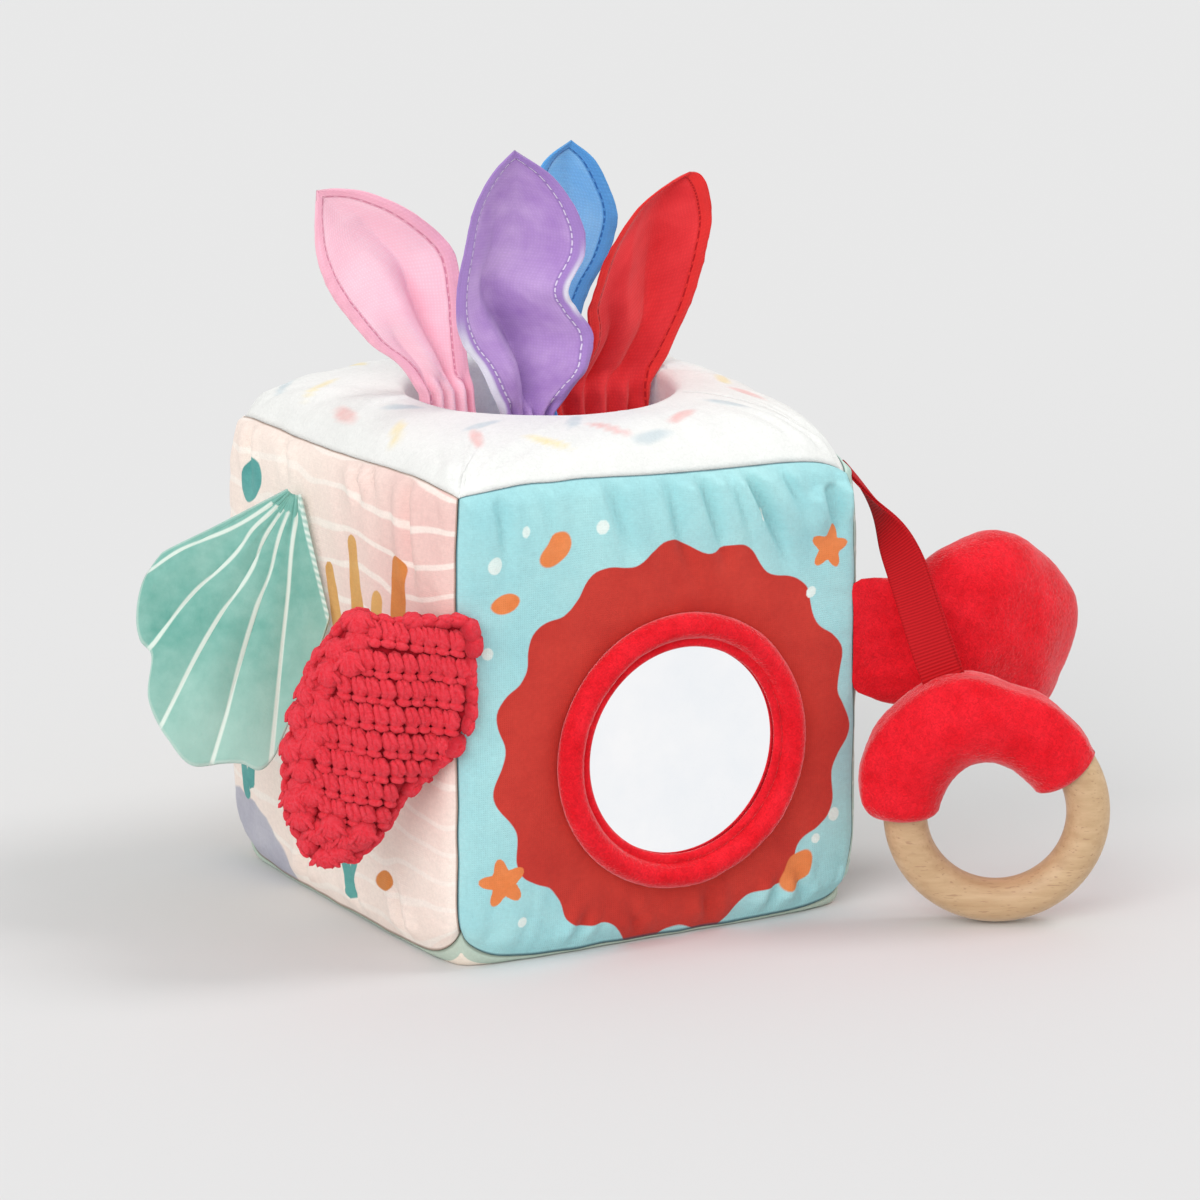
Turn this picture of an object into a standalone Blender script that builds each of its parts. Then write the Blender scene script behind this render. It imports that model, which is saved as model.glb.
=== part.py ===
# Soft fabric play block: a stuffed cloth cube with an open pocket in its top.
# Four scarves stand in the pocket. Round the cube hang a mirror in a plush
# frame, a velvet shell flap, a crocheted claw, a plush claw, and a beech ring
# in a plush sleeve on a ribbon.
# Metres, +Z up. The origin is the middle of the flat sole, and the mirror
# faces -Y.

import math

import bmesh
import bpy
from mathutils import Vector

mm = 0.001

# Fits shared by all pieces
sewing_gap = 0.3 * mm        # air between two pieces that are sewn or glued
seam_gap = 0.25 * mm         # how far each panel stops short of its seam
board_gap = 0.5 * mm         # between a cover and the foam board behind it

# Block
block_width = 126.0 * mm     # seam to seam, left to right
block_depth = 132.0 * mm     # seam to seam, front to back
block_top = 130.0 * mm       # height of the top seam
sole_seam_height = 2.0 * mm  # height of the bottom seam
sole_cut = 0.5 * mm          # depth that the sole is flattened
panel_crown = 2.5 * mm       # how far the wadding bows a panel out
cover_cloth = 1.0 * mm       # thickness of the printed cotton
board_foam = 8.0 * mm        # thickness of the foam boards
lining_cloth = 1.0 * mm
top_corner_round = 4.0 * mm     # how far a top corner is drawn in
hanger_corner_sink = 4.5 * mm   # how far the top corner by the ribbon sinks too
bottom_corner_round = 5.0 * mm  # how far a bottom corner is drawn in
bottom_corner_lift = 6.5 * mm   # how far the bottom cloth wraps up round it too

# Top opening
opening_radius = 37.0 * mm   # clear radius inside the plush collar
top_dome = 12.0 * mm         # rise from the top seam to the lip
lip_round = 3.0 * mm         # radius that the plush rolls over the lip with

# Mirror
mirror_place_x = 4.0 * mm
mirror_place_z = 54.0 * mm
mirror_radius = 30.5 * mm
mirror_sheet = 1.5 * mm
frame_inner_radius = 29.0 * mm   # the frame holds the mirror by its rim
frame_tube_width = 9.0 * mm
frame_height = 6.6 * mm

# Scarves
scarf_cloth = 1.0 * mm
scarf_tail_width = 16.0 * mm
scarf_tail_fold = 3.2 * mm   # depth of the folds where a scarf is gathered
scarf_leaf_cup = 9.0 * mm    # how far a leaf curls forward at its edges
scarf_tip_width = 3.0 * mm

# Shell flap
shell_top_y = 14.4 * mm      # top end of the sewn line on the left panel
shell_top_z = 118.3 * mm
shell_sewn_length = 37.7 * mm
shell_length = 83.0 * mm     # apex to the longest scallop
shell_apex_radius = 3.0 * mm
shell_cloth = 0.7 * mm
shell_film = 0.2 * mm
shell_flute = 1.4 * mm
shell_scallop = 2.6 * mm

# Plush claw
plush_seam_z = 73.5 * mm
plush_claw_length = 80.0 * mm
plush_claw_half_height = 26.2 * mm
plush_claw_half_depth = 13.0 * mm
plush_claw_drop = 3.5 * mm
plush_skin = 0.8 * mm
claw_hem_half_depth = 1.2 * mm   # half thickness of a claw's sewn edge
filling_setback = 5.0 * mm       # how far the stuffing stays from that edge
filling_gap = 0.5 * mm           # between the stuffing and the skin

# Crocheted claw
crochet_seam_z = 85.0 * mm
crochet_reach = 33.0 * mm
crochet_tip_z = 33.0 * mm
crochet_half_height = 22.0 * mm
crochet_half_depth = 10.5 * mm
crochet_skin = 0.8 * mm

# Beech ring, sleeve and ribbon
ring_radius = 25.0 * mm          # centre of the ring to centre of its section
ring_section_radius = 6.0 * mm
ring_floor_gap = 0.3 * mm
ring_off_side = 24.8 * mm        # from the right seam to the ring's centre
ring_off_front = 32.2 * mm       # from the front seam forward to it
sleeve_section_radius = 12.6 * mm
sleeve_off_ring = 1.8 * mm       # its stuffing lies thicker on the ring's outer side
sleeve_bore_gap = 0.6 * mm
sleeve_mouth_wall = 1.4 * mm
ribbon_width = 11.0 * mm
ribbon_doubled = 1.0 * mm         # two layers, with a loop end in the seam
ribbon_end_gap = 0.6 * mm         # from its lower end to the sleeve
ribbon_seam_y = -58.0 * mm       # middle of its sewn end, along the top right seam
ribbon_seam_gap = 1.0 * mm        # from its sewn end to the seam's cord
ribbon_root_handle = 28.0 * mm   # how stiffly it stands off the seam
ribbon_end_handle = 26.0 * mm    # and off the sleeve

# Counts of facets and stations
panel_cells = 8
round_steps = 4 * panel_cells
mirror_steps = 40
ring_steps = 36
ring_sides = 12
sleeve_stations = 14
bore_stations = 12
ribbon_steps = 14
scarf_columns = 12
tail_rows = 7
leaf_rows = 12
shell_scallops = 5
shell_fan_steps = 20
shell_hem_steps = 4
shell_radial_steps = 6
claw_sides = 16
claw_stations = 12

# Curves as shares of a piece's length, height or depth
dome_share = (0.0, 0.2, 0.42, 0.62, 0.79, 0.91, 0.975, 1.0)
dome_fullness_share = (2.5, 0.8)   # powers that keep the dome flat, then steep
leaf_width_share = ((0.0, 0.44), (0.22, 0.60), (0.45, 0.92), (0.62, 1.0), (0.8, 0.82), (1.0, 0.0))
plush_height_share = ((0.0, 0.58), (0.1, 0.66), (0.25, 0.74), (0.45, 0.92), (0.66, 1.0), (0.8, 0.92),
                      (0.93, 0.62), (1.0, 0.12))
plush_depth_share = ((0.0, 0.0), (0.1, 0.36), (0.25, 0.66), (0.45, 0.92), (0.66, 1.0), (0.8, 0.94),
                     (0.93, 0.66), (1.0, 0.14))
crochet_height_share = ((0.0, 0.56), (0.2, 0.76), (0.42, 0.98), (0.6, 0.88), (0.8, 0.66), (0.92, 0.46),
                        (1.0, 0.1))
crochet_depth_share = ((0.0, 0.0), (0.12, 0.28), (0.3, 0.74), (0.55, 1.0), (0.8, 0.9), (0.93, 0.62),
                       (1.0, 0.14))
crochet_bend_share = 0.72          # how far out the crocheted claw turns down
sleeve_end_share = ((0.0, 0.0), (0.04, 0.55), (0.16, 0.84), (0.4, 0.98), (1.0, 1.0))
shell_length_share = ((0.0, 0.93), (0.16, 0.99), (0.28, 1.0), (0.45, 0.91), (0.65, 0.76), (0.85, 0.67),
                      (1.0, 0.54))
corner_tightness = 6               # power that keeps the rounding near a corner

# Angles in degrees
shell_line_slant = 28.7      # of the sewn line from the vertical
shell_lay_back = 30.0        # of the flap behind the panel's outward normal
shell_top_angle = 78.0       # of the fan's upper edge from the sewn line
shell_low_angle = 18.0       # of its lower corner from the sewn line
shell_hem_angle = 36.1       # of the free front edge from the sewn line
plush_claw_turn = 10.0       # behind straight right
crochet_turn = 29.8          # behind straight left
ring_turn = -29.8            # of the ring's plane about Z from the XZ plane
sleeve_start = 35.0          # along the ring, from its right-hand end
sleeve_end = 180.0
ribbon_angle = 112.0         # where the ribbon meets the sleeve
ribbon_dip = 48.0            # below the horizontal, where it leaves its seam

side_axes = {
    "front": (Vector((0, -1, 0)), Vector((1, 0, 0)), Vector((0, 0, 1))),
    "back": (Vector((0, 1, 0)), Vector((-1, 0, 0)), Vector((0, 0, 1))),
    "left": (Vector((-1, 0, 0)), Vector((0, -1, 0)), Vector((0, 0, 1))),
    "right": (Vector((1, 0, 0)), Vector((0, 1, 0)), Vector((0, 0, 1))),
    "bottom": (Vector((0, 0, -1)), Vector((1, 0, 0)), Vector((0, -1, 0))),
}
up = Vector((0, 0, 1))
block_middle = up * (block_top + sole_seam_height) / 2

board_inset = cover_cloth + board_gap
board_back_inset = board_inset + board_foam
lining_inset = board_back_inset + sewing_gap


def clear_scene():
    for item in list(bpy.data.objects):
        bpy.data.objects.remove(item, do_unlink=True)


def finish_colour(name, colour, roughness, metallic=0.0):
    material = bpy.data.materials.new(name)
    material.use_nodes = True
    shader = material.node_tree.nodes["Principled BSDF"]
    shader.inputs["Base Color"].default_value = (*colour, 1.0)
    shader.inputs["Roughness"].default_value = roughness
    shader.inputs["Metallic"].default_value = metallic
    return material


def add_piece(name, mesh, material, parent=None, smooth_angle=40.0):
    """Turns a bmesh into a named object with its own material."""
    bmesh.ops.recalc_face_normals(mesh, faces=mesh.faces)
    data = bpy.data.meshes.new(name)
    mesh.to_mesh(data)
    mesh.free()
    data.shade_smooth()
    data.set_sharp_from_angle(angle=math.radians(smooth_angle))
    data.materials.append(material)
    piece = bpy.data.objects.new(name, data)
    bpy.context.scene.collection.objects.link(piece)
    if parent is not None:
        piece.parent = parent
        piece.matrix_parent_inverse = parent.matrix_world.inverted()
    return piece


def add_pivot(name, place, parent=None):
    """An empty on a joint's axis, which the moving pieces hang from."""
    pivot = bpy.data.objects.new(name, None)
    pivot.empty_display_size = sleeve_section_radius
    bpy.context.scene.collection.objects.link(pivot)
    if parent is not None:
        pivot.parent = parent
        pivot.location = place - parent.matrix_world.translation
    else:
        pivot.location = place
    bpy.context.view_layer.update()
    return pivot


def add_thickness(piece, thickness):
    solidify = piece.modifiers.new("Cloth thickness", "SOLIDIFY")
    solidify.thickness = thickness
    solidify.offset = 0.0
    return piece


def skin_rings(rings, joined=False):
    """Skins a list of closed rings of points. The ends are capped, or the
    last ring is joined to the first where the form has a hole through it."""
    mesh = bmesh.new()
    loops = [[mesh.verts.new(point) for point in ring] for ring in rings]
    pairs = list(zip(loops, loops[1:]))
    if joined:
        pairs.append((loops[-1], loops[0]))
    for lower, upper in pairs:
        for index in range(len(lower)):
            after = (index + 1) % len(lower)
            mesh.faces.new((lower[index], lower[after], upper[after], upper[index]))
    if not joined:
        for loop in (loops[0], loops[-1]):
            middle = sum((corner.co for corner in loop), Vector()) / len(loop)
            centre = mesh.verts.new(middle)
            for index in range(len(loop)):
                mesh.faces.new((loop[index], loop[(index + 1) % len(loop)], centre))
    return mesh


def skin_rows(rows):
    """Skins an open sheet from rows of points."""
    mesh = bmesh.new()
    lines = [[mesh.verts.new(point) for point in row] for row in rows]
    for lower, upper in zip(lines, lines[1:]):
        for index in range(len(lower) - 1):
            mesh.faces.new((lower[index], lower[index + 1], upper[index + 1], upper[index]))
    return mesh


def smoothstep(value):
    value = min(max(value, 0.0), 1.0)
    return value * value * (3 - 2 * value)


def share_at(shares, place):
    """Reads a table of (place, share) pairs with a smooth curve between."""
    places = [pair[0] for pair in shares]
    values = [pair[1] for pair in shares]
    for index in range(len(places) - 1):
        if place <= places[index + 1]:
            break
    before = max(index - 1, 0)
    after = min(index + 2, len(places) - 1)
    span = places[index + 1] - places[index]
    t = (place - places[index]) / span
    slope_in = (values[index + 1] - values[before]) / (places[index + 1] - places[before])
    slope_out = (values[after] - values[index]) / (places[after] - places[index])
    return (
        values[index] * (2 * t**3 - 3 * t**2 + 1)
        + values[index + 1] * (3 * t**2 - 2 * t**3)
        + slope_in * span * (t**3 - 2 * t**2 + t)
        + slope_out * span * (t**3 - t**2)
    )


# Block panels

def half_size(inset):
    """Half sizes of the seam box, drawn in by an inset on every side."""
    return Vector((
        block_width / 2 - inset,
        block_depth / 2 - inset,
        (block_top - sole_seam_height) / 2 - inset,
    ))


def round_corner(point, half):
    """Draws the block's corners in, where the cloth pulls round the foam."""
    reach = [min(abs(point[axis]) / half[axis], 1.0) for axis in range(3)]
    nearness = (reach[0] * reach[1] * reach[2]) ** corner_tightness
    if point.z < 0:
        inward = up * bottom_corner_lift - point.normalized() * bottom_corner_round
    elif point.x > 0 > point.y:
        inward = -up * hanger_corner_sink - point.normalized() * top_corner_round
    else:
        inward = -point.normalized() * top_corner_round
    return point + inward * nearness


def crowded(place):
    """Moves even places from -1 to 1 closer together near the seams."""
    return math.sin(math.pi / 2 * place)


def panel_point(side, across, along, inset, crown):
    """A point of a side panel, for across and along from -1 to 1."""
    normal, tangent, rise = side_axes[side]
    half = half_size(inset)
    sizes = [abs(axis.dot(half)) for axis in (normal, tangent, rise)]
    bulge = (1 - across**corner_tightness) * (1 - along**corner_tightness)
    point = (
        normal * (sizes[0] + crown * bulge)
        + tangent * across * (sizes[1] - seam_gap)
        + rise * along * (sizes[2] - seam_gap)
    )
    point = block_middle + round_corner(point, half)
    point.z = max(point.z, inset)
    return point


def panel_mesh(side, outer_inset, inner_inset, outer_crown, inner_crown):
    """A panel as two grids bridged along their edges."""
    mesh = bmesh.new()
    sheets = []
    for inset, crown in ((outer_inset, outer_crown), (inner_inset, inner_crown)):
        corners = bmesh.ops.create_grid(
            mesh, x_segments=panel_cells, y_segments=panel_cells, size=1)["verts"]
        sheets.append(corners)
        for corner in corners:
            across, along = crowded(corner.co.x), crowded(corner.co.y)
            corner.co = panel_point(side, across, along, inset, crown)
    rims = [edge for edge in mesh.edges if edge.is_boundary]
    bmesh.ops.bridge_loops(mesh, edges=rims)
    return mesh


def square_ring(half, height, reach, level=False):
    """A ring of the seam box's outline, drawn in at its corners, with its
    points where the panels have theirs. A level ring keeps its height."""
    ring = []
    for step in range(round_steps):
        quarter, cell = divmod(step, panel_cells)
        beside = crowded(2 * cell / panel_cells - 1)
        flat = ((1, beside), (-beside, 1), (-1, -beside), (beside, -1))[quarter]
        point = Vector((flat[0] * (half.x - reach), flat[1] * (half.y - reach), height - block_middle.z))
        point = block_middle + round_corner(point, half)
        if level:
            point.z = height
        ring.append(point)
    return ring


def round_ring(radius, height):
    ring = []
    for step in range(round_steps):
        angle = 2 * math.pi * step / round_steps - math.pi / 4
        ring.append(Vector((radius * math.cos(angle), radius * math.sin(angle), height)))
    return ring


def mixed_ring(inner, outer, share, height, outer_height):
    """A ring between the opening and the seam, at its own height, which
    follows the seam down at the corners."""
    ring = []
    for near, far in zip(inner, outer):
        point = near.lerp(far, share)
        sink = (outer_height - far.z) * share
        ring.append(Vector((point.x, point.y, height - sink)))
    return ring


def dome_rings(inset):
    """Rings of the domed top from the lip to the seam, an inset below it."""
    half = half_size(inset)
    seam_z = block_middle.z + half.z
    rim = round_ring(opening_radius + lip_round, seam_z)
    seam = square_ring(half, seam_z, seam_gap)
    flat, steep = dome_fullness_share
    rings = []
    for share in dome_share:
        height = seam_z + top_dome * (1 - share**flat) ** steep
        rings.append(mixed_ring(rim, seam, share, height, seam_z))
    return rings


def lip_rings(inset):
    """Rings that roll from the dome down into the opening."""
    lip_z = block_top - inset + top_dome
    bend = lip_round - inset if inset < lip_round else sewing_gap
    rings = []
    for turn in (30.0, 60.0, 90.0):
        angle = math.radians(turn)
        radius = opening_radius + lip_round - bend * math.sin(angle)
        rings.append(round_ring(radius, lip_z - bend * (1 - math.cos(angle))))
    return rings


def make_top(cloth, wadding):
    collar_foot = block_top - board_back_inset
    outer = dome_rings(0.0)[::-1] + lip_rings(0.0)
    outer.append(round_ring(opening_radius, collar_foot))
    inner = [round_ring(opening_radius + cover_cloth, collar_foot)]
    inner += lip_rings(cover_cloth)[::-1] + dome_rings(cover_cloth)
    add_piece("top_cover", skin_rings(outer + inner, joined=True), cloth, smooth_angle=60.0)

    pad_radius = opening_radius + board_inset
    pad_top = dome_rings(board_inset)[::-1][:-1]
    half = half_size(board_back_inset)
    pad_mouth = round_ring(opening_radius + lip_round, block_top - board_inset + top_dome)
    pad_shoulder = round_ring(pad_radius, block_top - board_inset + top_dome - lip_round)
    pad_foot = round_ring(pad_radius, collar_foot)
    pad_edge = square_ring(half, collar_foot, seam_gap, level=True)
    rings = pad_top + [pad_mouth, pad_shoulder, pad_foot, pad_edge]
    add_piece("top_wadding", skin_rings(rings, joined=True), wadding, smooth_angle=60.0)


def make_lining(cloth):
    """The pocket bag: a neck under the collar, four walls and a floor."""
    rings = []
    for inset in (lining_inset, lining_inset + lining_cloth):
        half = half_size(inset)
        top_z = block_middle.z + half.z
        floor_z = block_middle.z - half.z
        walls = [
            round_ring(opening_radius, floor_z),
            square_ring(half, floor_z, 0),
            square_ring(half, top_z, 0, level=True),
            round_ring(opening_radius, top_z),
        ]
        rings += walls if not rings else walls[::-1]
    add_piece("pocket_lining", skin_rings(rings), cloth)


def make_block(cloths, foam):
    for side in ("front", "back", "left", "right", "bottom"):
        crown = panel_crown if side != "bottom" else sole_seam_height + sole_cut
        cover = panel_mesh(side, 0.0, cover_cloth, crown, crown)
        add_piece(side + "_cover", cover, cloths[side], smooth_angle=60.0)
        board = panel_mesh(side, board_inset, board_back_inset, crown, 0.0)
        add_piece(side + "_board", board, foam, smooth_angle=60.0)


# Mirror

def spin_profile(profile, steps, centre, axis, first):
    """Turns a closed profile of (radius, height) pairs about an axis."""
    rings = []
    second = axis.cross(first)
    for radius, height in profile:
        ring = []
        for step in range(steps):
            angle = 2 * math.pi * step / steps
            spoke = first * math.cos(angle) + second * math.sin(angle)
            ring.append(centre + spoke * radius + axis * height)
        rings.append(ring)
    return rings


def make_mirror(mirror_finish, plush):
    face = block_depth / 2 + panel_crown
    centre = Vector((mirror_place_x, -face, mirror_place_z))
    outward = Vector((0, -1, 0))
    sideways = Vector((1, 0, 0))
    disc_front = sewing_gap + mirror_sheet
    disc_edge = mirror_sheet / 4
    disc = [
        (mirror_radius - disc_edge, sewing_gap),
        (mirror_radius, sewing_gap + disc_edge),
        (mirror_radius, disc_front - disc_edge),
        (mirror_radius - disc_edge, disc_front),
    ]
    add_piece("mirror_disc", skin_rings(spin_profile(disc, mirror_steps, centre, outward, sideways)),
              mirror_finish)

    rebate = disc_front + sewing_gap
    frame_outer_radius = frame_inner_radius + frame_tube_width
    middle = frame_inner_radius + frame_tube_width / 2
    profile = [(mirror_radius + sewing_gap, sewing_gap), (frame_outer_radius, sewing_gap)]
    for turn in (15.0, 45.0, 75.0, 105.0, 135.0, 165.0):
        angle = math.radians(turn)
        rise = frame_height - rebate
        profile.append((middle + frame_tube_width / 2 * math.cos(angle), rebate + rise * math.sin(angle)))
    profile += [(frame_inner_radius, rebate), (mirror_radius + sewing_gap, rebate)]
    rings = spin_profile(profile, mirror_steps, centre, outward, sideways)
    add_piece("mirror_frame", skin_rings(rings, joined=True), plush, smooth_angle=60.0)


# Scarves

scarves = {
    "scarf_pink": {
        "foot_x": -25.5 * mm, "foot_y": 2.0 * mm,
        "tip_x": -64.0 * mm, "tip_y": 5.0 * mm, "tip_z": 201.5 * mm,
        "bow": 6.0 * mm, "leaf": 37.0 * mm, "folds": 3,
    },
    "scarf_purple": {
        "foot_x": -13.0 * mm, "foot_y": -17.0 * mm,
        "tip_x": -22.0 * mm, "tip_y": -23.0 * mm, "tip_z": 214.0 * mm,
        "bow": -2.0 * mm, "leaf": 39.0 * mm, "folds": 3,
    },
    "scarf_blue": {
        "foot_x": 16.0 * mm, "foot_y": 19.0 * mm,
        "tip_x": 25.0 * mm, "tip_y": 24.0 * mm, "tip_z": 203.0 * mm,
        "bow": 2.0 * mm, "leaf": 27.0 * mm, "folds": 3,
    },
    "scarf_red": {
        "foot_x": 21.0 * mm, "foot_y": -1.0 * mm,
        "tip_x": 46.0 * mm, "tip_y": -5.0 * mm, "tip_z": 197.5 * mm,
        "bow": -5.0 * mm, "leaf": 33.0 * mm, "folds": 3,
    },
}


def scarf_rows(scarf):
    """A tail gathered in folds rises through the opening and opens into a
    hollow pointed leaf."""
    lip = Vector((scarf["foot_x"], scarf["foot_y"], block_top + top_dome))
    pocket_floor = block_middle.z - half_size(lining_inset + lining_cloth).z
    foot = Vector((lip.x, lip.y, pocket_floor + sewing_gap))
    tip = Vector((scarf["tip_x"], scarf["tip_y"], scarf["tip_z"]))
    lean = (tip - lip).normalized()
    beside = Vector((lean.z, 0, -lean.x))
    stations = []
    for row in range(tail_rows):
        share = row / tail_rows
        stations.append((foot.lerp(lip, share), Vector((1, 0, 0)), scarf_tail_width, 1.0))
    for row in range(leaf_rows + 1):
        share = row / leaf_rows
        centre = lip.lerp(tip, share) + beside * scarf["bow"] * math.sin(math.pi * share)
        across = Vector((1, 0, 0)).lerp(beside, smoothstep(share * 2)).normalized()
        width = max(scarf["leaf"] * share_at(leaf_width_share, share), scarf_tip_width)
        stations.append((centre, across, width, 1 - smoothstep(share * 1.6)))
    rows = []
    for centre, across, width, gathered in stations:
        row = []
        for column in range(scarf_columns + 1):
            place = 2 * column / scarf_columns - 1
            fold = scarf_tail_fold * gathered * math.cos(scarf["folds"] * math.pi * place)
            curl = abs(place) ** 1.6 - 0.5
            cup = scarf_leaf_cup * (1 - gathered) * curl * width / scarf["leaf"]
            row.append(centre + across * place * width / 2 + Vector((0, fold - cup, 0)))
        rows.append(row)
    return rows


def make_scarves(cottons):
    for name, scarf in scarves.items():
        pivot = add_pivot(name + "_pull", Vector((scarf["foot_x"], scarf["foot_y"], block_top)))
        piece = add_piece(name, skin_rows(scarf_rows(scarf)), cottons[name], pivot)
        add_thickness(piece, scarf_cloth)


# Shell flap

def shell_radius(angle):
    """Length of the fan at an angle in degrees from its sewn line."""
    if angle <= shell_low_angle:
        hem = math.radians(shell_hem_angle)
        return shell_sewn_length * math.sin(hem) / math.sin(hem - math.radians(angle))
    spread = (angle - shell_low_angle) / (shell_top_angle - shell_low_angle)
    length = shell_length * share_at(shell_length_share, spread)
    ripple = abs(math.sin(math.pi * shell_scallops * spread))
    return length - shell_scallop * (1 - ripple)


def shell_rows(lift):
    """Radial rows of the fan, lifted off its middle sheet."""
    slant = math.radians(shell_line_slant)
    down_line = Vector((0, -math.sin(slant), -math.cos(slant)))
    panel_side = Vector((-1, 0, 0))
    toward_back = down_line.cross(panel_side)
    lay = math.radians(shell_lay_back)
    outward = panel_side * math.cos(lay) + toward_back * math.sin(lay)
    normal = down_line.cross(outward)
    apex = shell_pivot_place()
    angles = [shell_low_angle * step / shell_hem_steps for step in range(shell_hem_steps)]
    fan = shell_top_angle - shell_low_angle
    angles += [shell_low_angle + fan * step / shell_fan_steps for step in range(shell_fan_steps + 1)]
    rows = []
    for angle in angles:
        turn = math.radians(angle)
        spoke = down_line * math.cos(turn) + outward * math.sin(turn)
        reach = shell_radius(angle)
        spread = max(angle - shell_low_angle, 0.0) / fan
        row = []
        for step in range(shell_radial_steps + 1):
            share = step / shell_radial_steps
            radius = shell_apex_radius + (reach - shell_apex_radius) * share
            free = smoothstep(radius * math.sin(turn) / (shell_length / 4))
            ripple = abs(math.sin(math.pi * shell_scallops * spread))
            row.append(apex + spoke * radius + normal * (lift + shell_flute * ripple * share * free))
        rows.append(row)
    return rows


def shell_half_thickness():
    return shell_cloth + sewing_gap + shell_film / 2


def shell_pivot_place():
    off_panel = shell_half_thickness() + sewing_gap
    return Vector((-(block_width / 2 + panel_crown + off_panel), shell_top_y, shell_top_z))


def make_shell(velvet_front, velvet_back, film):
    pivot = add_pivot("shell_hinge", shell_pivot_place())
    lift = shell_film / 2 + sewing_gap + shell_cloth / 2
    for name, side, thickness, material in (
        ("shell_front", -lift, shell_cloth, velvet_front),
        ("shell_crinkle_film", 0.0, shell_film, film),
        ("shell_back", lift, shell_cloth, velvet_back),
    ):
        piece = add_piece(name, skin_rows(shell_rows(side)), material, pivot)
        add_thickness(piece, thickness)


# Claws

def corner_root(side, along_side, height):
    """A point on the vertical seam between the front and another panel."""
    half = half_size(0.0)
    along = (height - block_middle.z) / half.z
    return panel_point(side, along_side, along, 0.0, panel_crown)


def claw_rings(root, outward, spine, height_share, depth_share, half_height, half_depth, inset):
    """Oval rings along a claw's spine, which lies in a vertical plane."""
    across = up.cross(outward)
    rings = []
    for station in range(claw_stations + 1):
        place = math.sin(math.pi / 2 * station / claw_stations)
        out, rise, tilt = spine(place)
        height = half_height * share_at(height_share, place) - inset
        depth = half_depth * share_at(depth_share, place) + claw_hem_half_depth * (1 - place) - inset
        tall = up * math.cos(tilt) + outward * math.sin(tilt)
        centre = root + outward * out + up * rise
        ring = []
        for side in range(claw_sides):
            angle = 2 * math.pi * side / claw_sides
            ring.append(centre + tall * height * math.cos(angle) + across * depth * math.sin(angle))
        rings.append(ring)
    return rings


def plush_spine(place):
    """The plush claw runs straight out and drops a little."""
    return plush_claw_length * place, -plush_claw_drop * smoothstep(place), 0.0


def crochet_spine(place):
    """The crocheted claw leaves its seam level and curls down."""
    drop = crochet_seam_z - crochet_tip_z
    bend = crochet_bend_share * crochet_reach
    out = 2 * place * (1 - place) * bend + place**2 * crochet_reach
    rise = -(place**2) * drop
    run = 2 * (1 - 2 * place) * bend + 2 * place * crochet_reach
    fall = 2 * place * drop
    return out, rise, math.atan2(fall, run)


def make_claw(name, root, turn, spine, shares, half_sizes, skin, skin_finish, filling_finish):
    """A stuffed claw: a cloth skin open at its sewn edge, with its filling."""
    outward = Vector((math.cos(turn), math.sin(turn), 0))
    reach = claw_hem_half_depth + sewing_gap
    pivot_place = root + outward * reach
    pivot = add_pivot(name + "_hinge", pivot_place)
    outer = claw_rings(pivot_place, outward, spine, *shares, *half_sizes, 0.0)
    inner = claw_rings(pivot_place, outward, spine, *shares, *half_sizes, skin)
    inner[-1] = [tip.lerp(before, 0.5) for tip, before in zip(inner[-1], inner[-2])]
    add_piece(name + "_skin", skin_rings(outer[::-1] + inner), skin_finish, pivot, 60.0)
    filling = claw_rings(pivot_place, outward, spine, *shares, *half_sizes, skin + filling_gap)
    stuffed = [ring for ring in filling[:-1] if (ring[0] - filling[0][0]).length > filling_setback]
    add_piece(name + "_filling", skin_rings(stuffed), filling_finish, pivot, 60.0)
    return pivot


def make_claws(plush, crochet, filling):
    right_root = corner_root("right", -1.0, plush_seam_z)
    make_claw("plush_claw", right_root, math.radians(plush_claw_turn), plush_spine,
              (plush_height_share, plush_depth_share),
              (plush_claw_half_height, plush_claw_half_depth), plush_skin, plush, filling)
    left_root = corner_root("left", 1.0, crochet_seam_z)
    make_claw("crochet_claw", left_root, math.pi - math.radians(crochet_turn), crochet_spine,
              (crochet_height_share, crochet_depth_share),
              (crochet_half_height, crochet_half_depth), crochet_skin, crochet, filling)


# Ring, sleeve and ribbon

def ring_frame():
    """The ring's centre and its sideways and facing directions."""
    turn = math.radians(ring_turn)
    sideways = Vector((math.cos(turn), math.sin(turn), 0))
    facing = sideways.cross(up)
    outer = ring_radius + ring_section_radius
    beside_block = block_width / 2 + ring_off_side
    before_block = block_depth / 2 + ring_off_front
    centre = Vector((beside_block, -before_block, outer + ring_floor_gap))
    return centre, sideways, facing


def section_ring(centre, sideways, facing, angle, radius, off_ring=0.0):
    """A ring of the tube's section, at an angle along the beech ring."""
    spoke = sideways * math.cos(angle) + up * math.sin(angle)
    ring = []
    for side in range(ring_sides):
        turn = 2 * math.pi * side / ring_sides
        ring.append(centre + spoke * (ring_radius + off_ring + radius * math.cos(turn))
                    + facing * radius * math.sin(turn))
    return ring


def sleeve_rings(centre, sideways, facing):
    start = math.radians(sleeve_start)
    sweep = math.radians(sleeve_end) - start
    bore = ring_section_radius + sleeve_bore_gap
    mouth = bore + sleeve_mouth_wall
    rings = []
    for station in range(sleeve_stations + 1):
        share = (1 - math.cos(math.pi * station / sleeve_stations)) / 2
        swell = share_at(sleeve_end_share, 2 * min(share, 1 - share))
        radius = mouth + (sleeve_section_radius - mouth) * swell
        angle = start + sweep * share
        rings.append(section_ring(centre, sideways, facing, angle, radius, sleeve_off_ring * swell))
    for station in range(bore_stations + 1):
        share = 1 - station / bore_stations
        rings.append(section_ring(centre, sideways, facing, start + sweep * share, bore))
    return rings


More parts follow.
